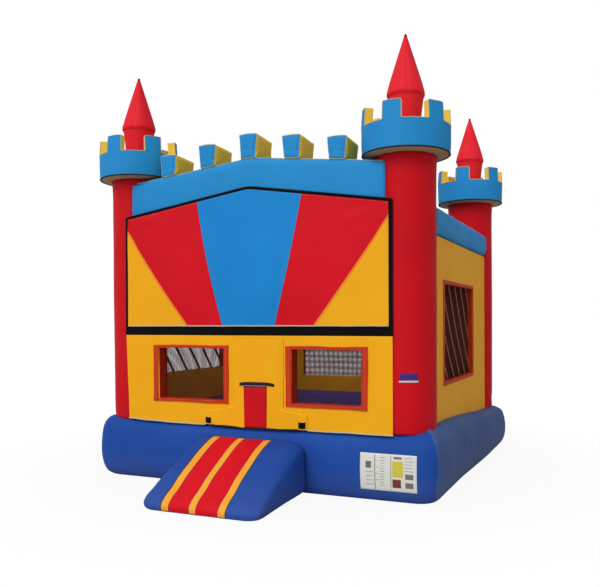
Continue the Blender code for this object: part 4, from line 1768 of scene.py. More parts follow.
@dataclass
class Border:
    """The black hook-and-loop band that the panel sticks to."""

    side: float = 0.055
    bottom: float = 0.108
    top: float = 0.05

    def build(self) -> None:
        """Make the band and its two rows of stitches."""
        low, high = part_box("panel_border")
        half, foot = high.x, low.z

        def spot(x: float, y: float, z: float) -> Point:
            """A point of the band; z runs from 0 at its foot to 1 at the gable.

            Args:
                x: place across.
                y: place in depth.
                z: height.

            Returns:
                The moved point.
            """
            rise = SIZES.gable(x) - foot
            inner = rise - self.top
            height = foot + (z if z <= self.bottom else self.bottom + (z - self.bottom) * (
                inner - self.bottom) if z <= 1 else inner + (z - 1) * self.top)
            lift = 0.0015 * wobble((x, height, 0), 0.25, 9.0)
            return (x, y - lift, height)

        xs = loops_at((-half, -half + self.side, half - self.side, half), 0.06, 0.006)
        zs = [0.0, 0.006, self.bottom - 0.006, self.bottom, *spread(0.15, 0.97, 20), 1.0, 1.15, 1.85, 2.0]

        def solid(x: float, y: float, z: float) -> bool:
            """Whether the band fills a place."""
            return abs(x) > half - self.side or z < self.bottom or z > 1

        skin = Skin().cells(xs, (low.y - 0.001, high.y), zs, solid, spot, lambda *_: 0)
        band = skin.piece("panel_border_band", [PILE], soften=1)
        hand_in(band, Body.CASTLE, "hook_and_loop", "panel_border")
        face, lines = low.y - 0.0022, []
        for inset in (0.012, self.side - 0.012):
            foot_line = [(x, face, foot + inset) for x in spread(-half + inset, half - inset, 60)]
            top_line = [(x, face, SIZES.gable(x, inset)) for x in spread(half - inset, -half + inset, 60)]
            lines.append([*foot_line, *top_line, foot_line[0]])
        sewn_on("panel_border_stitches", lines, 0.012, (0.008, 0.002, 0.002), finish=DARK_THREAD)


@dataclass
class ArtPanel:
    """The removable panel: five fanned sectors, joined by welds."""

    lap: float = 0.015
    inner_foot: float = 0.31
    inner_head: float = 0.63
    outer_foot: float = 0.735
    outer_side: float = 2.81
    amber: float = 0.030
    belly: float = 0.020

    def seams(self) -> list[tuple[Pair, Pair]]:
        """The right-hand seams, each from its foot to its head, as x and height.

        Returns:
            The seams.
        """
        low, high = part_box("art_panel")
        head = SIZES.gable(self.inner_head)
        inner = ((self.inner_foot, low.z), (self.inner_head, head))
        outer = ((self.outer_foot, low.z), (high.x, self.outer_side))
        pale = ((self.outer_foot + self.amber, low.z), (high.x, self.outer_side - self.amber * 1.25))
        return [inner, outer, pale]

    @staticmethod
    def beyond(seam: tuple[Pair, Pair], x: float, z: float) -> bool:
        """Whether a place is on a seam's outer side.

        Args:
            seam: the seam's foot and head.
            x: place across.
            z: height.

        Returns:
            True on its outer side.
        """
        (x0, z0), (x1, z1) = seam
        bow = 0.018 * math.sin(math.pi * min(max((z - z0) / (z1 - z0), 0), 1))
        return x > x0 + (x1 - x0) * (z - z0) / (z1 - z0) + bow

    def tint(self, middle: Vector) -> int:
        """Finish of a face: 0 sky, 1 red, 2 amber, 3 yellow."""
        return sum(self.beyond(seam, abs(middle.x), middle.z) for seam in self.seams())

    def relief(self, x: float, z: float) -> float:
        """How far the film stands out at a place: a soft belly, creases off the corners and slack.

        Args:
            x: place across.
            z: height.

        Returns:
            The relief in metres.
        """
        low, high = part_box("art_panel")
        across, up = x / high.x, (z - low.z) / (high.z - low.z)
        out = self.belly * (1 - across ** 4) * max(math.sin(math.pi * min(up * 1.05, 1)), 0)
        out += 0.006 * wobble((x, z, 0), 0.42, 11.0) * (1 - across ** 6)
        for sign in (-1, 1):
            dx, dz = x - sign * high.x, z - SIZES.gable(high.x, 0.03)
            reach = math.hypot(dx, dz)
            fan = math.atan2(-dz, -sign * dx)
            out += 0.007 * math.exp(-((reach - 0.25) / 0.22) ** 2) * math.cos(fan * 13 + 1.2 * sign)
        return out

    def build(self) -> None:
        """Make the panel, its hem, a pale strip that paints the highlight along its foot, its seam stitches and its
        edge stitches.
        """
        low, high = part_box("art_panel")
        half, drop = high.x, Border.top - self.lap
        work = gable_grid(half, low.z, drop)
        for (x0, z0), (x1, z1) in self.seams():
            knots = [(x0 + (x1 - x0) * t + 0.018 * math.sin(math.pi * t), z0 + (z1 - z0) * t)
                     for t in spread(0, 1, 7)]
            for sign in (-1, 1):
                for a, b in zip(knots, knots[1:]):
                    inside = [f for f in work.faces if a[1] - 0.06 < f.calc_center_median().z < b[1] + 0.06
                              and f.calc_center_median().x * sign > 0]
                    parts = {e for f in inside for e in f.edges} | {v for f in inside for v in f.verts} | set(inside)
                    across = Vector((b[1] - a[1], 0, -(b[0] - a[0]) * sign))
                    bmesh.ops.bisect_plane(work, geom=list(parts), plane_co=(a[0] * sign, 0, a[1]),
                            plane_no=Vector((across.x, 0, across.z)))

        def spot(at: Vector, _: int) -> Point:
            """A point of the hanging film."""
            return (at.x, low.y - 0.001 - max(self.relief(at.x, at.z), -0.004), at.z)

        panel = flat_piece(work, "art_panel_film", [PANEL_SKY, PANEL_RED, PANEL_AMBER, PANEL_YELLOW], 0.0016,
                spot, self.tint)
        hand_in(panel, Body.PANEL, "panel_vinyl", "art_panel")
        # The pale foot strip paints the thin highlight along the panel's foot.
        trims = [self.hem(low, high)]
        for pair, name in (({0, 1}, "inner"), ({1, 2}, "outer")):
            trims.append(stitches(seam_line(f"art_panel_{name}_stitches", panel, pair, 0.0009), DARK_THREAD,
                    0.010, (0.007, 0.0015, 0.0015)))
        edge = 0.010
        foot = [(x, low.z + edge) for x in spread(-half + edge, half - edge, 60)]
        top = [(x, SIZES.gable(x, drop + edge)) for x in spread(half - edge, -half + edge, 60)]
        ring = [(x, low.y - 0.0022 - max(self.relief(x, z), -0.004), z) for x, z in [*foot, *top, foot[0]]]
        line = edge_line("art_panel_edge_stitches", [ring])
        trims.append(stitches(line, THREAD, 0.012, (0.008, 0.0016, 0.0016)))
        for trim in trims:
            hand_in(trim, Body.PANEL, "pale_webbing")
        area = (half * 2) * (SIZES.gable(half, drop) - low.z + SIZES.gable(0, drop) - low.z) / 2

    def hem(self, low: Vector, high: Vector) -> bpy.types.Object:
        """The pale strip along the panel's foot: a painted highlight on that edge, shaped as a hem.

        Args:
            low: the panel's lowest corner.
            high: its highest corner.

        Returns:
            The hem.
        """
        rows = []
        for x in spread(-high.x + 0.004, high.x - 0.004, 90):
            wave = 0.002 * wobble((x, 0, 0), 0.2, 3.0)
            out = low.y - 0.0025 - max(self.relief(x, low.z + 0.01), -0.004)
            rows.append([(x, out + lift, low.z + up + wave) for lift, up in (
                (0.0, 0.0), (-0.0022, 0.007), (0.0, 0.015), (0.003, 0.007))])
        skin = Skin().rows(rows, around=True)
        for row in (rows[0], rows[-1]):
            skin.fan(row, row[3])
        return skin.piece("art_panel_hem", [PIPING_AND_HIGHLIGHT])


# ---- door ----
@dataclass
class DoorFlap:
    """The hanging flap with its pull, its stripe and its two tabs."""

    shoulder: float = 0.86
    foot_edge: float = 0.83
    middle: float = 0.10
    narrow: float = 0.31

    def edges_at(self, z: float) -> Pair:
        """The flap's left and right edges at a height, with a soft step where it widens.

        Args:
            z: the height.

        Returns:
            Left and right edge.
        """
        low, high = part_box("door_flap")
        share = min(max((z - self.foot_edge + 0.01) / (self.shoulder - self.foot_edge + 0.02), 0), 1)
        share = share * share * (3 - 2 * share)
        return (low.x + (self.middle - self.narrow - low.x) * share,
                high.x + (self.middle + self.narrow - high.x) * share)

    def relief(self, x: float, z: float) -> float:
        """How far the film stands out at a place.

        Args:
            x: place across.
            z: height.

        Returns:
            The relief in metres.
        """
        low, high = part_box("door_flap")
        hang = (high.z - z) / (high.z - low.z)
        left, right = self.edges_at(z)
        edge = SIZES.smooth(min(x - left, right - x), 0.0, 0.06) - 1
        sway = 0.006 * wobble((x, z * 0.7, 0), 0.28, 21.0) * hang
        return sway + 0.004 * math.cos(x * 17 + 0.5) * hang ** 2 + 0.013 * edge

    def drop(self, x: float, z: float) -> float:
        """How far the flap's foot hangs below its solid, most in its middle.

        Args:
            x: place across.
            z: height.

        Returns:
            The drop in metres.
        """
        low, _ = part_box("door_flap")
        sag = 0.026 + 0.014 * (1 - ((x - self.middle) / 0.6) ** 2)
        return sag * (1 - SIZES.smooth(z, low.z, low.z + 0.12))

    def build(self) -> None:
        """Make the flap, what is sewn to it and a dark cord that paints the shadow under its foot."""
        low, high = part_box("door_flap")
        work = bmesh.new()
        rows = []
        for z in spread(low.z, high.z, 46):
            rows.append([work.verts.new((x, 0, z)) for x in spread(*self.edges_at(z), 37)])
        for below, above in zip(rows, rows[1:]):
            for n in range(36):
                work.faces.new((below[n], below[n + 1], above[n + 1], above[n]))

        def spot(at: Vector, _: int) -> Point:
            """A point of the hanging flap."""
            return (at.x, low.y - 0.0008 - max(self.relief(at.x, at.z), -0.016), at.z - self.drop(at.x, at.z))

        flap = flat_piece(work, "door_flap_film", [YELLOW], 0.003, spot, lambda _: 0, 1)
        hand_in(flap, Body.DOOR, "yellow_vinyl", "door_flap")
        trims = [self.pull(), self.stripe(), *(self.tab(side) for side in ("left", "right"))]
        inset, hem = 0.012, []
        ends = (high.z - 0.02, low.z + inset)
        for side, heights in ((0, spread(*ends, 40)), (1, spread(*reversed(ends), 40))):
            for z in heights:
                x = self.edges_at(z)[side] + (inset, -inset)[side]
                hem.append((x, low.y - 0.0022 - max(self.relief(x, z), -0.016), z))
        sewn = stitches(edge_line("door_flap_stitches", [hem]), YELLOW, 0.011, (0.007, 0.0015, 0.0015))
        trims.append(hand_in(sewn, Body.DOOR, "yellow_vinyl"))
        span = (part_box("door_tab_left")[1].x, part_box("door_tab_right")[0].x)
        # A dark cord along the flap's foot: painted shadow under the flap.
        foot = [(x, low.y + 0.004, low.z - self.drop(x, low.z)) for x in spread(*span, 60)]
        foot_edge = tube(edge_line("door_foot_edge", [foot]), DARK_THREAD, 0.009)
        trims.append(hand_in(foot_edge, Body.DOOR, "black_webbing"))
        widths = [right - left for left, right in map(self.edges_at, spread(low.z, high.z, 40))]

    def ribbon(self, name: str, node_name: str, halves: Callable[[float], float], finishes: Sequence,
               droop: Callable[[float], float], thickness: float, tint: Callable[[float], int]) -> bpy.types.Object:
        """A sewn strip over a solid's place on the flap.

        Args:
            name: the strip's name.
            node_name: the solid that it stands for.
            halves: half of its width at a share of its height.
            finishes: its finishes.
            droop: how far it hangs down at a distance from its middle.
            thickness: its thickness.
            tint: finish number at a share of its height.

        Returns:
            The strip.
        """
        low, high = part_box(node_name)
        middle = (low.x + high.x) / 2
        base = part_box("door_flap")[0].y - 0.003
        rows = {}
        for layer in (0, 1):
            rows[layer] = []
            for share in spread(0, 1, 24):
                half, z = halves(share), low.z + (high.z - low.z) * share
                crown = thickness * (1 - (2 * share - 1) ** 6) * (1 if layer else 0) + 0.0008
                rows[layer].append([(middle + x, base - max(self.relief(middle + x, z), -0.016) - crown * (
                    1 - (abs(x) / half) ** 8), z - droop(x) - self.drop(middle + x, z)) for x in spread(-half, half, 24)])
        skin = Skin().rows(rows[1], lambda i, j: tint(i / 23)).rows([list(reversed(row)) for row in rows[0]])
        ends = [[a, b] for a, b in zip(rows[0][0] + rows[0][-1], rows[1][0] + rows[1][-1])]
        skin.rows(ends[:24]).rows(ends[24:])
        for end in (0, -1):
            skin.rows([[rows[0][n][end], rows[1][n][end]] for n in range(24)])
        strip = skin.piece(name, finishes)
        return hand_in(strip, Body.DOOR, finishes[0].slot, node_name)

    def pull(self) -> bpy.types.Object:
        """The black pull bar, its ends drooping a little.

        Returns:
            The bar.
        """
        low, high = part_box("door_pull")
        half = (high.x - low.x) / 2
        return self.ribbon("door_pull_bar", "door_pull", lambda share: half * (1 - 0.02 * (2 * share - 1) ** 4),
                [BLACK_TAPE], lambda x: 0.012 * (abs(x) / half) ** 4, 0.007, lambda _: 0)

    def stripe(self) -> bpy.types.Object:
        """The red stripe, violet under the pull as a painted shadow of the pull.

        Returns:
            The stripe.
        """
        low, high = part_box("door_stripe")
        half = (high.x - low.x) / 2
        # Its top strip, under the pull, takes the violet finish: painted shadow of the pull.
        return self.ribbon("door_stripe_film", "door_stripe", lambda share: half * (0.93 + 0.07 * share ** 0.6),
                [RED, VIOLET], lambda x: 0.0, 0.0025, lambda share: int(share > 0.945))

    def tab(self, side: str) -> bpy.types.Object:
        """One dark tab at the flap's foot.

        Args:
            side: left or right.

        Returns:
            The tab.
        """
        low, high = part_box(f"door_tab_{side}")
        half = (high.x - low.x) / 2
        return self.ribbon(f"door_tab_{side}_pile", f"door_tab_{side}", lambda share: half, [PILE],
                lambda x: 0.003 * math.cos(x * 60), 0.006, lambda _: 0)


# ---- ramp ----
@dataclass
class Ramp:
    """The inflated step-up ramp with its welded stripes."""

    rounding: float = 0.15
    stripes: tuple = (-0.285, -0.20, 0.02, 0.095, 0.325, 0.405)

    def outline(self) -> list[Pair]:
        """The side profile as depth and height, from the back's top over the nose and back underneath.

        Returns:
            The points.
        """
        low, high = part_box("entry_ramp")
        back, nose, top = SIZES.base_half + 0.004, -low.y, high.z
        line = [(back, top - 0.075), (back + 0.045, top - 0.046), (back + 0.11, top - 0.052),
                (back + 0.28, top - 0.105), (back + 0.50, top - 0.205), (back + 0.72, top - 0.312),
                (nose - 0.15, top - 0.402), (nose - 0.045, top - 0.455), (nose + 0.026, top - 0.515),
                (nose + 0.030, 0.030), (nose - 0.006, 0.004),
                (nose - 0.14, 0.0), (back + 0.45, 0.0), (back + 0.02, 0.0), (back - 0.03, 0.06), (back, 0.30)]
        return curve_through(line, 5, looped=True)

    def stations(self) -> list[tuple[float, float]]:
        """Places across the ramp, each with how far its outline is drawn in.

        Returns:
            The places.
        """
        low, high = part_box("entry_ramp")
        left, right = low.x + self.rounding, high.x - self.rounding
        turn = [(self.rounding * math.sin(a), self.rounding * (1 - math.cos(a)))
                for a in spread(math.radians(10), math.radians(88), 9)]
        flat = [(x, 0.0) for x in loops_at([left, *self.stripes, right], 0.05, 0.006)]
        return [(left - x, inset) for x, inset in reversed(turn)] + flat + [
            (right + x, inset) for x, inset in turn]

    def point(self, x: float, inset: float, depth: float, height: float) -> Point:
        """A point of the skin.

        Args:
            x: place across.
            inset: how far the outline is drawn in.
            depth: the profile point's depth.
            height: its height.

        Returns:
            The point.
        """
        low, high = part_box("entry_ramp")
        core_y = min(max(depth, SIZES.base_half + 0.12), -low.y - 0.10)
        share = (core_y - SIZES.base_half) / (-low.y - SIZES.base_half)
        core_z = 0.5 * (high.z * (1 - share) + 0.13 * share)
        away = Vector((depth - core_y, height - core_z))
        kept = away.length - inset * min(away.length / (2.2 * self.rounding), 1.0)
        drawn = away * (kept / max(away.length, 1e-6))
        groove = sum(math.exp(-((x - mark) / 0.006) ** 2) for mark in self.stripes) * 0.0035
        puff = 0.006 * wobble((x, depth, height), 0.3, 31.0) - groove * (height > 0.02)
        y, z = core_y + drawn.x, core_z + drawn.y
        lift = puff if height > 0.02 else 0.0
        along = min(max((depth - SIZES.base_half) / (-low.y - SIZES.base_half), 0.0), 1.0)
        edge = SIZES.smooth(abs(x - 0.055), 0.37, 0.62)
        shift = (-0.095 + 0.045 * along) * (1 - edge) + (0.01 * along if x < 0 else 0.01) * edge
        return (x + shift, -y, max(z + lift, 0.0))

    def tint(self, x: float, depth: float, height: float) -> int:
        """Finish of a face: 0 royal, 1 yellow, 2 red.

        Args:
            x: place across.
            depth: distance from the castle's centre.
            height: height.

        Returns:
            The number of the finish.
        """
        if height < 0.022 or depth < SIZES.base_half + 0.015:
            return 0
        return (0, 1, 2, 1, 2, 1, 0)[sum(x > mark for mark in self.stripes)]

    def build(self) -> None:
        """Make the ramp, its stripe welds and its stitches."""
        outline, stations = self.outline(), self.stations()
        rows = [[self.point(x, inset, d, h) for d, h in outline] for x, inset in stations]

        def tint(i: int, j: int) -> int:
            """Finish of the face between two stations and two profile points.

            Args:
                i: number of the station.
                j: number of the profile point.

            Returns:
                The number of the finish.
            """
            x = (stations[i][0] + stations[i + 1][0]) / 2
            d, h = outline[j]
            return self.tint(x, d, h)

        skin = Skin().rows(rows, tint, around=True)
        for row, sign in ((rows[0], -1), (rows[-1], 1)):
            rings = [
                [(p[0] + sign * 0.018 * math.sin(math.pi / 2 * k),
                  *Vector(p).lerp(Vector(self.centre(p)), k)[1:]) for p in row]
                for k in (0.12, 0.3, 0.5, 0.7, 0.85, 0.98)]
            skin.rows([row, *rings], around=True)
            middle = [sum(p[axis] for p in rings[-1]) / len(row) for axis in range(3)]
            skin.fan(rings[-1], middle)
        ramp = skin.piece("entry_ramp_skin", [ROYAL, STRIPE, PANEL_RED], merge=1e-4)
        hand_in(ramp, Body.CASTLE, "royal_vinyl", "entry_ramp")
        for pair, finish, radius, name in (
                ({0, 1}, DARK_THREAD, 0.004, "outer"), ({1, 2}, VIOLET, 0.0022, "inner")):
            weld = tube(seam_line(f"ramp_{name}_welds", ramp, pair, 0.0008), finish, radius, 0.014, 6)
            hand_in(weld, Body.CASTLE, finish.slot)

    def centre(self, point: Sequence[float]) -> Point:
        """The point of the side's middle line nearest to an outline point.

        Args:
            point: the outline point.

        Returns:
            The middle point.
        """
        low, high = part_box("entry_ramp")
        y = min(max(-point[1], SIZES.base_half + 0.14), -low.y - 0.10)
        share = (y - SIZES.base_half) / (-low.y - SIZES.base_half)
        return (point[0], -y, 0.5 * (high.z * (1 - share) + 0.13 * share))


# ---- fittings ----
@dataclass
class CarePanel:
    """The printed care panel: plain blocks and rules, no lettering."""

    def at(self, across: float, up: float, lift: float) -> Point:
        """A point over the base, from shares of the panel's width and height.

        Args:
            across: place across.
            up: share of the height.
            lift: distance off the film.

        Returns:
            The point.
        """
        low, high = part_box("info_panel")
        x, z = low.x + (high.x - low.x) * across, low.z + (high.z - low.z) * up
        curl = 0.003 * wobble((x, z, 0), 0.12, 41.0)
        return (x, -SIZES.shoulder_at(z) - 0.0035 - lift - abs(curl), z)

    def patch(self, skin: Skin, across: Pair, up: Pair, tint: int, lift: float) -> None:
        """Add one printed block."""
        skin.rows([[self.at(a, u, lift) for a in spread(*across, 8)] for u in spread(*up, 8)], tint)

    def build(self) -> None:
        """Make the panel, its blocks and its rules."""
        skin = Skin()
        skin.rows([[self.at(a, u, 0.0) for a in spread(0, 1, 30)] for u in spread(0, 1, 24)], 0)
        skin.rows([[self.at(a, u, -0.002) for a in spread(1, 0, 30)] for u in spread(0, 1, 24)], 0)
        for ends in (0, 1):
            skin.rows([[self.at(ends, u, 0.0), self.at(ends, u, -0.002)] for u in spread(0, 1, 24)], 0)
            skin.rows([[self.at(a, ends, 0.0), self.at(a, ends, -0.002)] for a in spread(0, 1, 30)], 0)
        panel = skin.piece("care_panel", [WHITE])
        hand_in(panel, Body.CASTLE, "white_vinyl", "info_panel")
        blocks = Skin()
        for across, up, tint in (((0.262, 0.272), (0.03, 0.97), 3), ((0.545, 0.553), (0.03, 0.97), 3),
                ((0.576, 0.765), (0.40, 0.82), 0), ((0.576, 0.725), (0.11, 0.34), 1),
                ((0.80, 0.94), (0.12, 0.27), 2), ((0.80, 0.94), (0.36, 0.50), 2),
                ((0.10, 0.20), (0.60, 0.78), 2), ((0.60, 0.74), (0.88, 0.94), 2)):
            self.patch(blocks, across, up, tint, 0.0006)
        prints = blocks.piece("care_panel_blocks", [PRINT_YELLOW, PRINT_RED, PRINT_GREY, PILE])
        hand_in(prints, Body.CASTLE, "white_vinyl")
        rules = []
        for across, ups in (((0.36, 0.44), spread(0.16, 0.90, 11)), ((0.10, 0.24), spread(0.16, 0.50, 4)),
                ((0.79, 0.95), spread(0.58, 0.92, 5)), ((0.29, 0.33), spread(0.3, 0.8, 4))):
            for n, up in enumerate(ups):
                end = across[1] - 0.3 * (across[1] - across[0]) * ((n * 7) % 5) / 5
                rules.append([self.at(a, up, 0.0004) for a in spread(across[0], end, 8)])
        lines = tube(edge_line("care_panel_rules", rules), BLACK_TAPE, 0.0016, 0.03, 4)
        hand_in(lines, Body.CASTLE, "black_webbing")


@dataclass
class ColumnHandle:
    """The violet patch on the front right column and the pale strap under it."""

    middle: float = -70.0
    wide: float = 0.095
    taper: float = 0.82

    def at(self, across: float, z: float, lift: float) -> Point:
        """A point over the column, from a distance around it, a height and a lift.

        Args:
            across: place across.
            z: height.
            lift: distance off the film.

        Returns:
            The point.
        """
        angle = self.middle + math.degrees(across / SIZES.column_r)
        radius = Column("front_right").radius(angle, z) + lift
        a = math.radians(angle)
        return (SIZES.column_at + radius * math.cos(a), -SIZES.column_at + radius * math.sin(a), z)

    def pad(self, name: str, node_name: str, finish: Finish, lift: float, taper: float) -> None:
        """One sewn pad.

        Args:
            name: its name.
            node_name: the solid that it stands for.
            finish: its finish.
            lift: how far it stands off the column.
            taper: width at its top as a share of its foot's.
        """
        low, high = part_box(node_name)
        rows = []
        for share in spread(0, 1, 14):
            half = self.wide * (1 + (taper - 1) * share)
            crown = 0.35 + 0.65 * (1 - abs(2 * share - 1) ** 4)
            rows.append([self.at(x, low.z + (high.z - low.z) * share, lift * crown * (1 - 0.7 * (abs(x) / half) ** 6))
                         for x in spread(-half, half, 28)])
        skin = Skin().rows(rows)
        skin.rows([[self.at(x, low.z + (high.z - low.z) * share, 0.0005)
                    for x in spread(-self.wide * (1 + (taper - 1) * share), self.wide * (1 + (taper - 1) * share), 28)]
                   for share in spread(0, 1, 14)])
        start = skin.points
        lower = len(rows) * 28
        edge = [*range(28), *(n * 28 + 27 for n in range(1, 14)), *(13 * 28 + n for n in range(26, -1, -1)),
                *(n * 28 for n in range(12, 0, -1))]
        skin.rows([[start[n] for n in edge], [start[n + lower] for n in edge]], around=True)
        hand_in(skin.piece(name, [finish]), Body.CASTLE, finish.slot, node_name)

    def build(self) -> None:
        """Make the patch, its strap and its stitches."""
        self.pad("column_patch_pad", "column_patch", VIOLET, 0.008, self.taper)
        self.pad("column_strap_tape", "column_strap", PALE_TAPE, 0.012, 1.0)
        low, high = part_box("column_patch")
        lines = [[self.at(x, z, 0.0075) for x in spread(-self.wide * 0.74, self.wide * 0.74, 12)]
                 for z in (low.z + 0.012, high.z - 0.012)]
        sewn_on("column_patch_stitches", lines)


@dataclass
class Anchor:
    """A rear anchor patch, its keeper and the ring that swings in it."""

    number: int

    def build(self) -> None:
        """Make the patch with its keeper, its stitches and its ring."""
        name = f"anchor_patch_{self.number}"
        low, high = ranged(name, Side.REAR)
        ring_low, ring_high = ranged(f"anchor_ring_{self.number}", Side.REAR)
        x, bar = (low.x + high.x) / 2, ring_high.z - 0.004
        half, tall = (high.x - low.x) / 2, (high.z - low.z) / 2
        middle = (low.z + high.z) / 2
        rows = []
        for share in spread(1.0, 0.0, 7):
            rows.append([])
            for n in range(64):
                angle = math.tau * n / 64
                c, s = math.cos(angle), math.sin(angle)
                px = x + half * 1.25 * share * bulged(c, 0.45)
                pz = middle + tall * 1.35 * share * bulged(s, 0.45)
                lift = 0.0028 * (1 - share ** 12) if share else 0.003
                rows[-1].append((px, -SIZES.shoulder_at(pz) - lift, pz))
        skin = Skin().rows(rows[:-1], around=True).fan(rows[-2], rows[-1][0])
        patch = skin.piece(f"{name}_film", [ROYAL], Side.REAR)
        thicken(patch, 0.0018, 1.0)
        hand_in(patch, Body.CASTLE, "royal_vinyl", name)
        out = -(ring_low.y + ring_high.y) / 2
        loop = []
        for n in range(25):
            angle = math.radians(-110 + 220 * n / 24)
            loop.append((out + 0.0068 * math.cos(angle), bar + 0.0068 * math.sin(angle)))
        face = SIZES.shoulder_at(bar)
        line = [(face + 0.003, bar - 0.045), *loop, (face + 0.003, bar + 0.045)]
        keeper = Skin().rows([[(px, -d, z) for px in spread(x - 0.028, x + 0.028, 8)] for d, z in line])
        tape = keeper.piece(f"{name}_keeper", [BLACK_TAPE], Side.REAR)
        thicken(tape, 0.0016, 0.0)
        hand_in(tape, Body.CASTLE, "black_webbing")
        lines = [[(x + sx * 0.024, -SIZES.shoulder_at(z) - 0.0055, z) for z in spread(bar + a, bar + b, 5)]
                 for sx in (-1, 1) for a, b in ((-0.042, -0.012), (0.012, 0.042))]
        sewn_on(f"{name}_stitches", lines, 0.007, (0.005, 0.0012, 0.0012), Side.REAR)
        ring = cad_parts[f"anchor_ring_{self.number}"]
        ring.data.materials.clear()
        ring.data.materials.append(STEEL.material())


@dataclass
class Sleeve:
    """The blower's sleeve with gathered folds and its tie strap."""

    folds: int = 13

    def build(self) -> None:
        """Make the sleeve and its strap."""
        low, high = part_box("inflation_sleeve")
        axis, radius = (low + high) / 2, (high.x - low.x) / 2
        tie = sum(point.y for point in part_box("sleeve_strap")) / 2
        rows = []
        for y in spread(low.y - 0.01, high.y, 44):
            ring = []
            pinch = math.exp(-((y - tie) / 0.05) ** 2)
            for n in range(104):
                angle = math.tau * n / 104
                fold = 0.006 * (0.3 + pinch) * math.cos(self.folds * angle + 2 * wobble((y * 3, 0, 0), 1.0))
                r = radius - 0.012 - 0.010 * pinch + fold + 0.004 * wobble((math.cos(angle), math.sin(angle), y * 4), 0.6)
                z = max(axis.z + r * math.sin(angle), 0.006)
                ring.append((axis.x + r * math.cos(angle), y, z))
            rows.append(ring)
        sleeve = Skin().rows(rows, around=True).piece("inflation_sleeve_film", [ROYAL])
        thicken(sleeve, 0.002, -1.0)
        sleeve.data.shade_smooth()
        hand_in(sleeve, Body.CASTLE, "royal_vinyl", "inflation_sleeve")
        band = []
        for k in range(8):
            angle = math.tau * k / 8
            c, s = math.cos(angle), math.sin(angle)
            band.append([
                (axis.x + (radius - 0.010 + 0.003 * c) * math.cos(a), tie + 0.02 * bulged(s, 0.4),
                 max(axis.z + (radius - 0.010 + 0.003 * c) * math.sin(a), 0.003))
                for a in spread(0, math.tau * 79 / 80, 80)])
        strap = Skin().rows(band, around=True, looped=True).piece("sleeve_strap_band", [BLACK_TAPE])
        hand_in(strap, Body.CASTLE, "black_webbing", "sleeve_strap")
        buckle = []
        for n in range(33):
            a = math.tau * n / 32
            c, s = math.cos(a), math.sin(a)
            buckle.append((axis.x + 0.024 * bulged(c, 0.5),
                           tie + 0.026 * bulged(s, 0.5), axis.z + radius - 0.002))
        wire = tube(edge_line("sleeve_strap_buckle", [buckle]), STEEL, 0.0022, 0.004)
        hand_in(wire, Body.CASTLE, "plated_steel")


@dataclass
class DeflationZip:
    """The zip in the base's rear: tape, two rows of teeth, end stops and a slider."""

    tooth: Point = (0.0028, 0.0075, 0.004)

    def build(self) -> None:
        """Make the tape, the teeth, the stitches and the slider."""
        low, high = ranged("zip_tape", Side.REAR)
        middle = (low.z + high.z) / 2
        out = {z: SIZES.shoulder_at(z) for z in (low.z, middle, high.z)}

        def at(x: float, z: float, lift: float) -> Point:
            """A point over the base's rear face."""
            return (x, -max(out[low.z], out[high.z], out[middle]) - lift, z)

        rows = [[at(x, z, 0.0035 + 0.001 * wobble((x, z, 0), 0.2)) for x in spread(low.x, high.x, 60)]
                for z in spread(low.z, high.z, 8)]
        tape = Skin().rows(rows).piece("zip_tape_band", [BLACK_TAPE], Side.REAR)
        thicken(tape, 0.0024, -1.0)
        hand_in(tape, Body.CASTLE, "black_webbing", "zip_tape")
        lines = [[at(x, middle + sign * 0.0024, 0.0052) for x in spread(low.x + 0.02, high.x - 0.02, 30)]
                 for sign in (-1, 1)]
        teeth = grow(edge_line("zip_teeth", lines, Side.REAR), row_tree(), STEEL, Pitch=0.006, Size=self.tooth,
                     Uneven=0.0, Seed=1)
        hand_in(teeth, Body.CASTLE, "plated_steel")
        sewn = [[at(x, z, 0.0052) for x in spread(low.x + 0.01, high.x - 0.01, 30)]
                for z in (low.z + 0.008, high.z - 0.008)]
        sewn_on("zip_stitches", sewn, side=Side.REAR)
        self.slider(at, middle)

    @staticmethod
    def slider(at: Callable[[float, float, float], Point], middle: float) -> None:
        """The slider: a waisted body and a hanging pull.

        Args:
            at: a point over the base, from x, height and lift.
            middle: height of the zip's middle.
        """
        low, high = ranged("zip_slider", Side.REAR)
        x, half = (low.x + high.x) / 2, (high.x - low.x) / 2
        rows = []
        for share in spread(-1, 1, 15):
            waist = 0.0125 - 0.003 * math.cos(math.pi * share / 2) ** 2
            ring = []
            for n in range(20):
                a = math.tau * n / 20
                c, s = math.cos(a), math.sin(a)
                ring.append(at(x + half * share, middle + waist * bulged(c, 0.5),
                               0.010 + 0.0045 * bulged(s, 0.5) * (1 - 0.2 * share * share)))
            rows.append(ring)
        skin = Skin().rows(rows, around=True)
        for row in (rows[0], rows[-1]):
            skin.fan(row, [sum(p[k] for p in row) / len(row) for k in range(3)])
        hand_in(skin.piece("zip_slider_body", [STEEL], Side.REAR), Body.SLIDER, "plated_steel", "zip_slider")
        loop = [at(x + 0.010 * math.sin(a), middle - 0.004 - 0.026 * (1 - math.cos(a)), 0.0155)
                for a in spread(0, math.tau, 33)]
        pull = tube(edge_line("zip_slider_pull", [loop], Side.REAR), STEEL, 0.0016, 0.004)
        hand_in(pull, Body.SLIDER, "plated_steel")


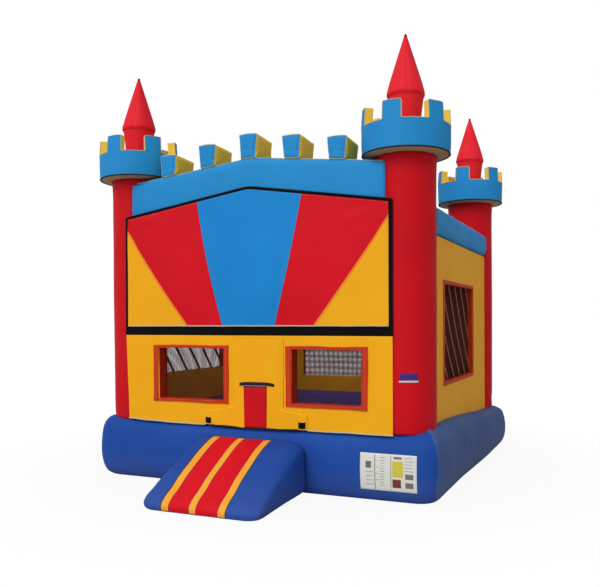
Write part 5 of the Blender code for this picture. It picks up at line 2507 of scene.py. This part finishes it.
# ---- studio ----
@dataclass
class Studio:
    """Pale floor, soft light and the camera."""

    eye: Point = (3.6224, -8.5437, 1.7813)
    turn: float = 23.02
    tilt: float = 90.0
    roll: float = -0.204
    lens: float = 42.696
    shift: Pair = (-0.0331, 0.0453)
    world_light: float = 0.62
    sun: float = 1.62

    def build(self) -> None:
        """Set up the stage."""
        scene = bpy.context.scene
        scene.view_settings.view_transform = "Standard"
        camera = bpy.data.objects.new("camera", bpy.data.cameras.new("camera"))
        scene.collection.objects.link(camera)
        turns = [Matrix.Rotation(math.radians(angle), 4, axis)
                 for angle, axis in ((self.turn, "Z"), (self.tilt, "X"), (self.roll, "Z"))]
        camera.matrix_world = Matrix.Translation(self.eye) @ turns[0] @ turns[1] @ turns[2]
        camera.data.lens = self.lens
        camera.data.shift_x, camera.data.shift_y = self.shift
        camera.data.sensor_width = 36.0
        camera.data.clip_end = 500.0
        scene.camera = camera
        self.lights()
        self.floor()

    def lights(self) -> None:
        """A wide soft key from the front left, a weak fill, and a pale world."""
        scene = bpy.context.scene
        for name, strength, spread_angle, aim in (("key", self.sun, 40, (0.05, 0.74, -0.67)),
                ("fill", 0.25, 80, (-0.9, 0.2, -0.25))):
            light = bpy.data.lights.new(name, "SUN")
            light.energy, light.angle = strength, math.radians(spread_angle)
            obj = bpy.data.objects.new(name, light)
            obj.rotation_euler = Vector(aim).to_track_quat("-Z", "Y").to_euler()
            scene.collection.objects.link(obj)
        world = bpy.data.worlds.new("studio")
        scene.world = world
        world.use_nodes = True
        tree = world.node_tree
        tree.nodes.clear()
        seen = node(tree, "ShaderNodeBackground", {0: (1.0, 1.0, 1.0, 1.0), 1: 1.0})
        way = node(tree, "ShaderNodeTexCoord").outputs["Generated"]
        right = node(tree, "ShaderNodeSeparateXYZ", {0: way}).outputs["X"]
        power = node(tree, "ShaderNodeMapRange", {0: right, 1: -0.2, 2: 0.8, 3: self.world_light,
                4: self.world_light * 0.5}).outputs[0]
        lit = node(tree, "ShaderNodeBackground", {0: (0.96, 0.98, 1.0, 1.0), 1: power})
        path = node(tree, "ShaderNodeLightPath")
        mixed = node(tree, "ShaderNodeMixShader", {0: path.outputs["Is Camera Ray"], 1: lit.outputs[0],
                2: seen.outputs[0]})
        node(tree, "ShaderNodeOutputWorld", {0: mixed.outputs[0]})

    @staticmethod
    def floor() -> None:
        """A pale floor that fades into the background far out."""
        rows = [[(radius * math.cos(a), radius * math.sin(a), -0.001) for a in spread(0, math.tau * 63 / 64, 64)]
                for radius in (0.01, 4, 8, 16, 60, 200)]
        floor = Skin().rows(rows, around=True)
        mesh = bpy.data.meshes.new("floor")
        mesh.from_pydata(floor.points, [], [tuple(reversed(face)) for face in floor.faces])
        obj = placed(mesh)
        material = bpy.data.materials.new("pale_floor")
        material.use_nodes = True
        tree = material.node_tree
        shader = tree.nodes["Principled BSDF"]
        shader.inputs["Base Color"].default_value = (0.5, 0.5, 0.5, 1.0)
        shader.inputs["Roughness"].default_value = 0.9
        shader.inputs["Specular IOR Level"].default_value = 0.1
        place = node(tree, "ShaderNodeTexCoord").outputs["Object"]
        far = node(tree, "ShaderNodeVectorMath", {0: place}, operation="LENGTH").outputs["Value"]
        near = node(tree, "ShaderNodeMapRange", {0: far, 1: 2.2, 2: 5.0, 3: 0.93, 4: 1.0},
                    interpolation_type="SMOOTHSTEP").outputs[0]
        fade = math_node(tree, "MULTIPLY", near, node(tree, "ShaderNodeLightPath").outputs["Is Camera Ray"])
        glow = node(tree, "ShaderNodeEmission", {0: (1.0, 1.0, 1.0, 1.0), 1: 1.0})
        mixed = node(tree, "ShaderNodeMixShader", {0: fade, 1: shader.outputs[0], 2: glow.outputs[0]})
        tree.links.new(mixed.outputs[0], tree.nodes["Material Output"].inputs[0])
        mesh.materials.append(material)
        obj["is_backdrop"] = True


# ---- whole castle ----
def window_openings() -> dict[str, list[Opening]]:
    """The walls' openings, from the nets and the wall's own doorway.

    Returns:
        Openings by side name.
    """
    found = {}
    for name, side, nodes in (("front", Side.FRONT, ("front_window_net_left", "front_window_net_right")),
            ("right", Side.RIGHT, ("side_window_net_right",)),
            ("rear", Side.REAR, ("rear_window_net",)),
            ("left", Side.LEFT, ("side_window_net_left",))):
        found[name] = []
        for net in nodes:
            low, high = ranged(net, side)
            found[name].append(Opening((low.x - 0.0006, high.x + 0.0006), (low.z - 0.0006, high.z + 0.0006),
                    2 if name == "rear" else 1))
    return found


def build_walls() -> None:
    """Make the walls, their window bands, nets and straps."""
    openings = window_openings()
    low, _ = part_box("wall_front")
    doorway = Opening((-0.18, 0.38), (low.z - 0.022, 1.55), 0)
    for name, side in (("front", Side.FRONT), ("right", Side.RIGHT), ("rear", Side.REAR), ("left", Side.LEFT)):
        holes = openings[name] + ([doorway] if name == "front" else [])
        Wall(f"wall_{name}", side, holes).build()
    for name, opening in zip(("left", "right"), openings["front"]):
        WindowFrame(f"front_window_frame_{name}", Side.FRONT).build(opening)
        WindowNet(f"front_window_net_{name}", Side.FRONT, 0.011, 0.0016).build()
    for name, side in (("right", Side.RIGHT), ("left", Side.LEFT)):
        WindowFrame(f"side_window_frame_{name}", side, 0.008).build(openings[name][0])
        WindowNet(f"side_window_net_{name}", side, 0.014, 0.0018).build()
        WindowStraps(f"side_window_{name}", side).build(openings[name][0], 1.825)
    WindowNet("rear_window_net", Side.REAR, 0.014, 0.0035).build()
    WindowNet("upper_net", Side.FRONT, pitch=0.04, cord=0.0018, sag=0.0).build(lambda x: SIZES.gable(x, 0.01))


def build_castle() -> None:
    """Make every sub-assembly in order."""
    BumperBase().build()
    JumpFloor().build()
    for corner in CORNERS:
        Column(corner).build()
        Turret(corner).build()
        Spire(corner).build()
    front = Beam("beam_front", Side.FRONT, slope=0.109, round_power=5.0)
    front.build()
    for name, side in (("right", Side.RIGHT), ("rear", Side.REAR), ("left", Side.LEFT)):
        Beam(f"beam_{name}", side).build()
    for index in range(1, 6):
        Merlon(index, front).build()
    build_walls()
    Border().build()
    ArtPanel().build()
    DoorFlap().build()
    Ramp().build()
    CarePanel().build()
    ColumnHandle().build()
    for number in (1, 2):
        Anchor(number).build()
    Sleeve().build()
    DeflationZip().build()


def write_sizes() -> None:
    """Work out the frame's box and the finished model's box; nothing is written or kept."""
    boxes = {"cad": CAD_BOX, "visual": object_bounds()}
    {name: [[float(n) for n in corner] for corner in box] for name, box in boxes.items()}


def main() -> None:
    """Build the stage and the castle."""
    logging.basicConfig(level=logging.INFO, format="%(name)s: %(message)s")
    Studio().build()
    build_castle()
    write_sizes()


if __name__ == "__main__":
    main()
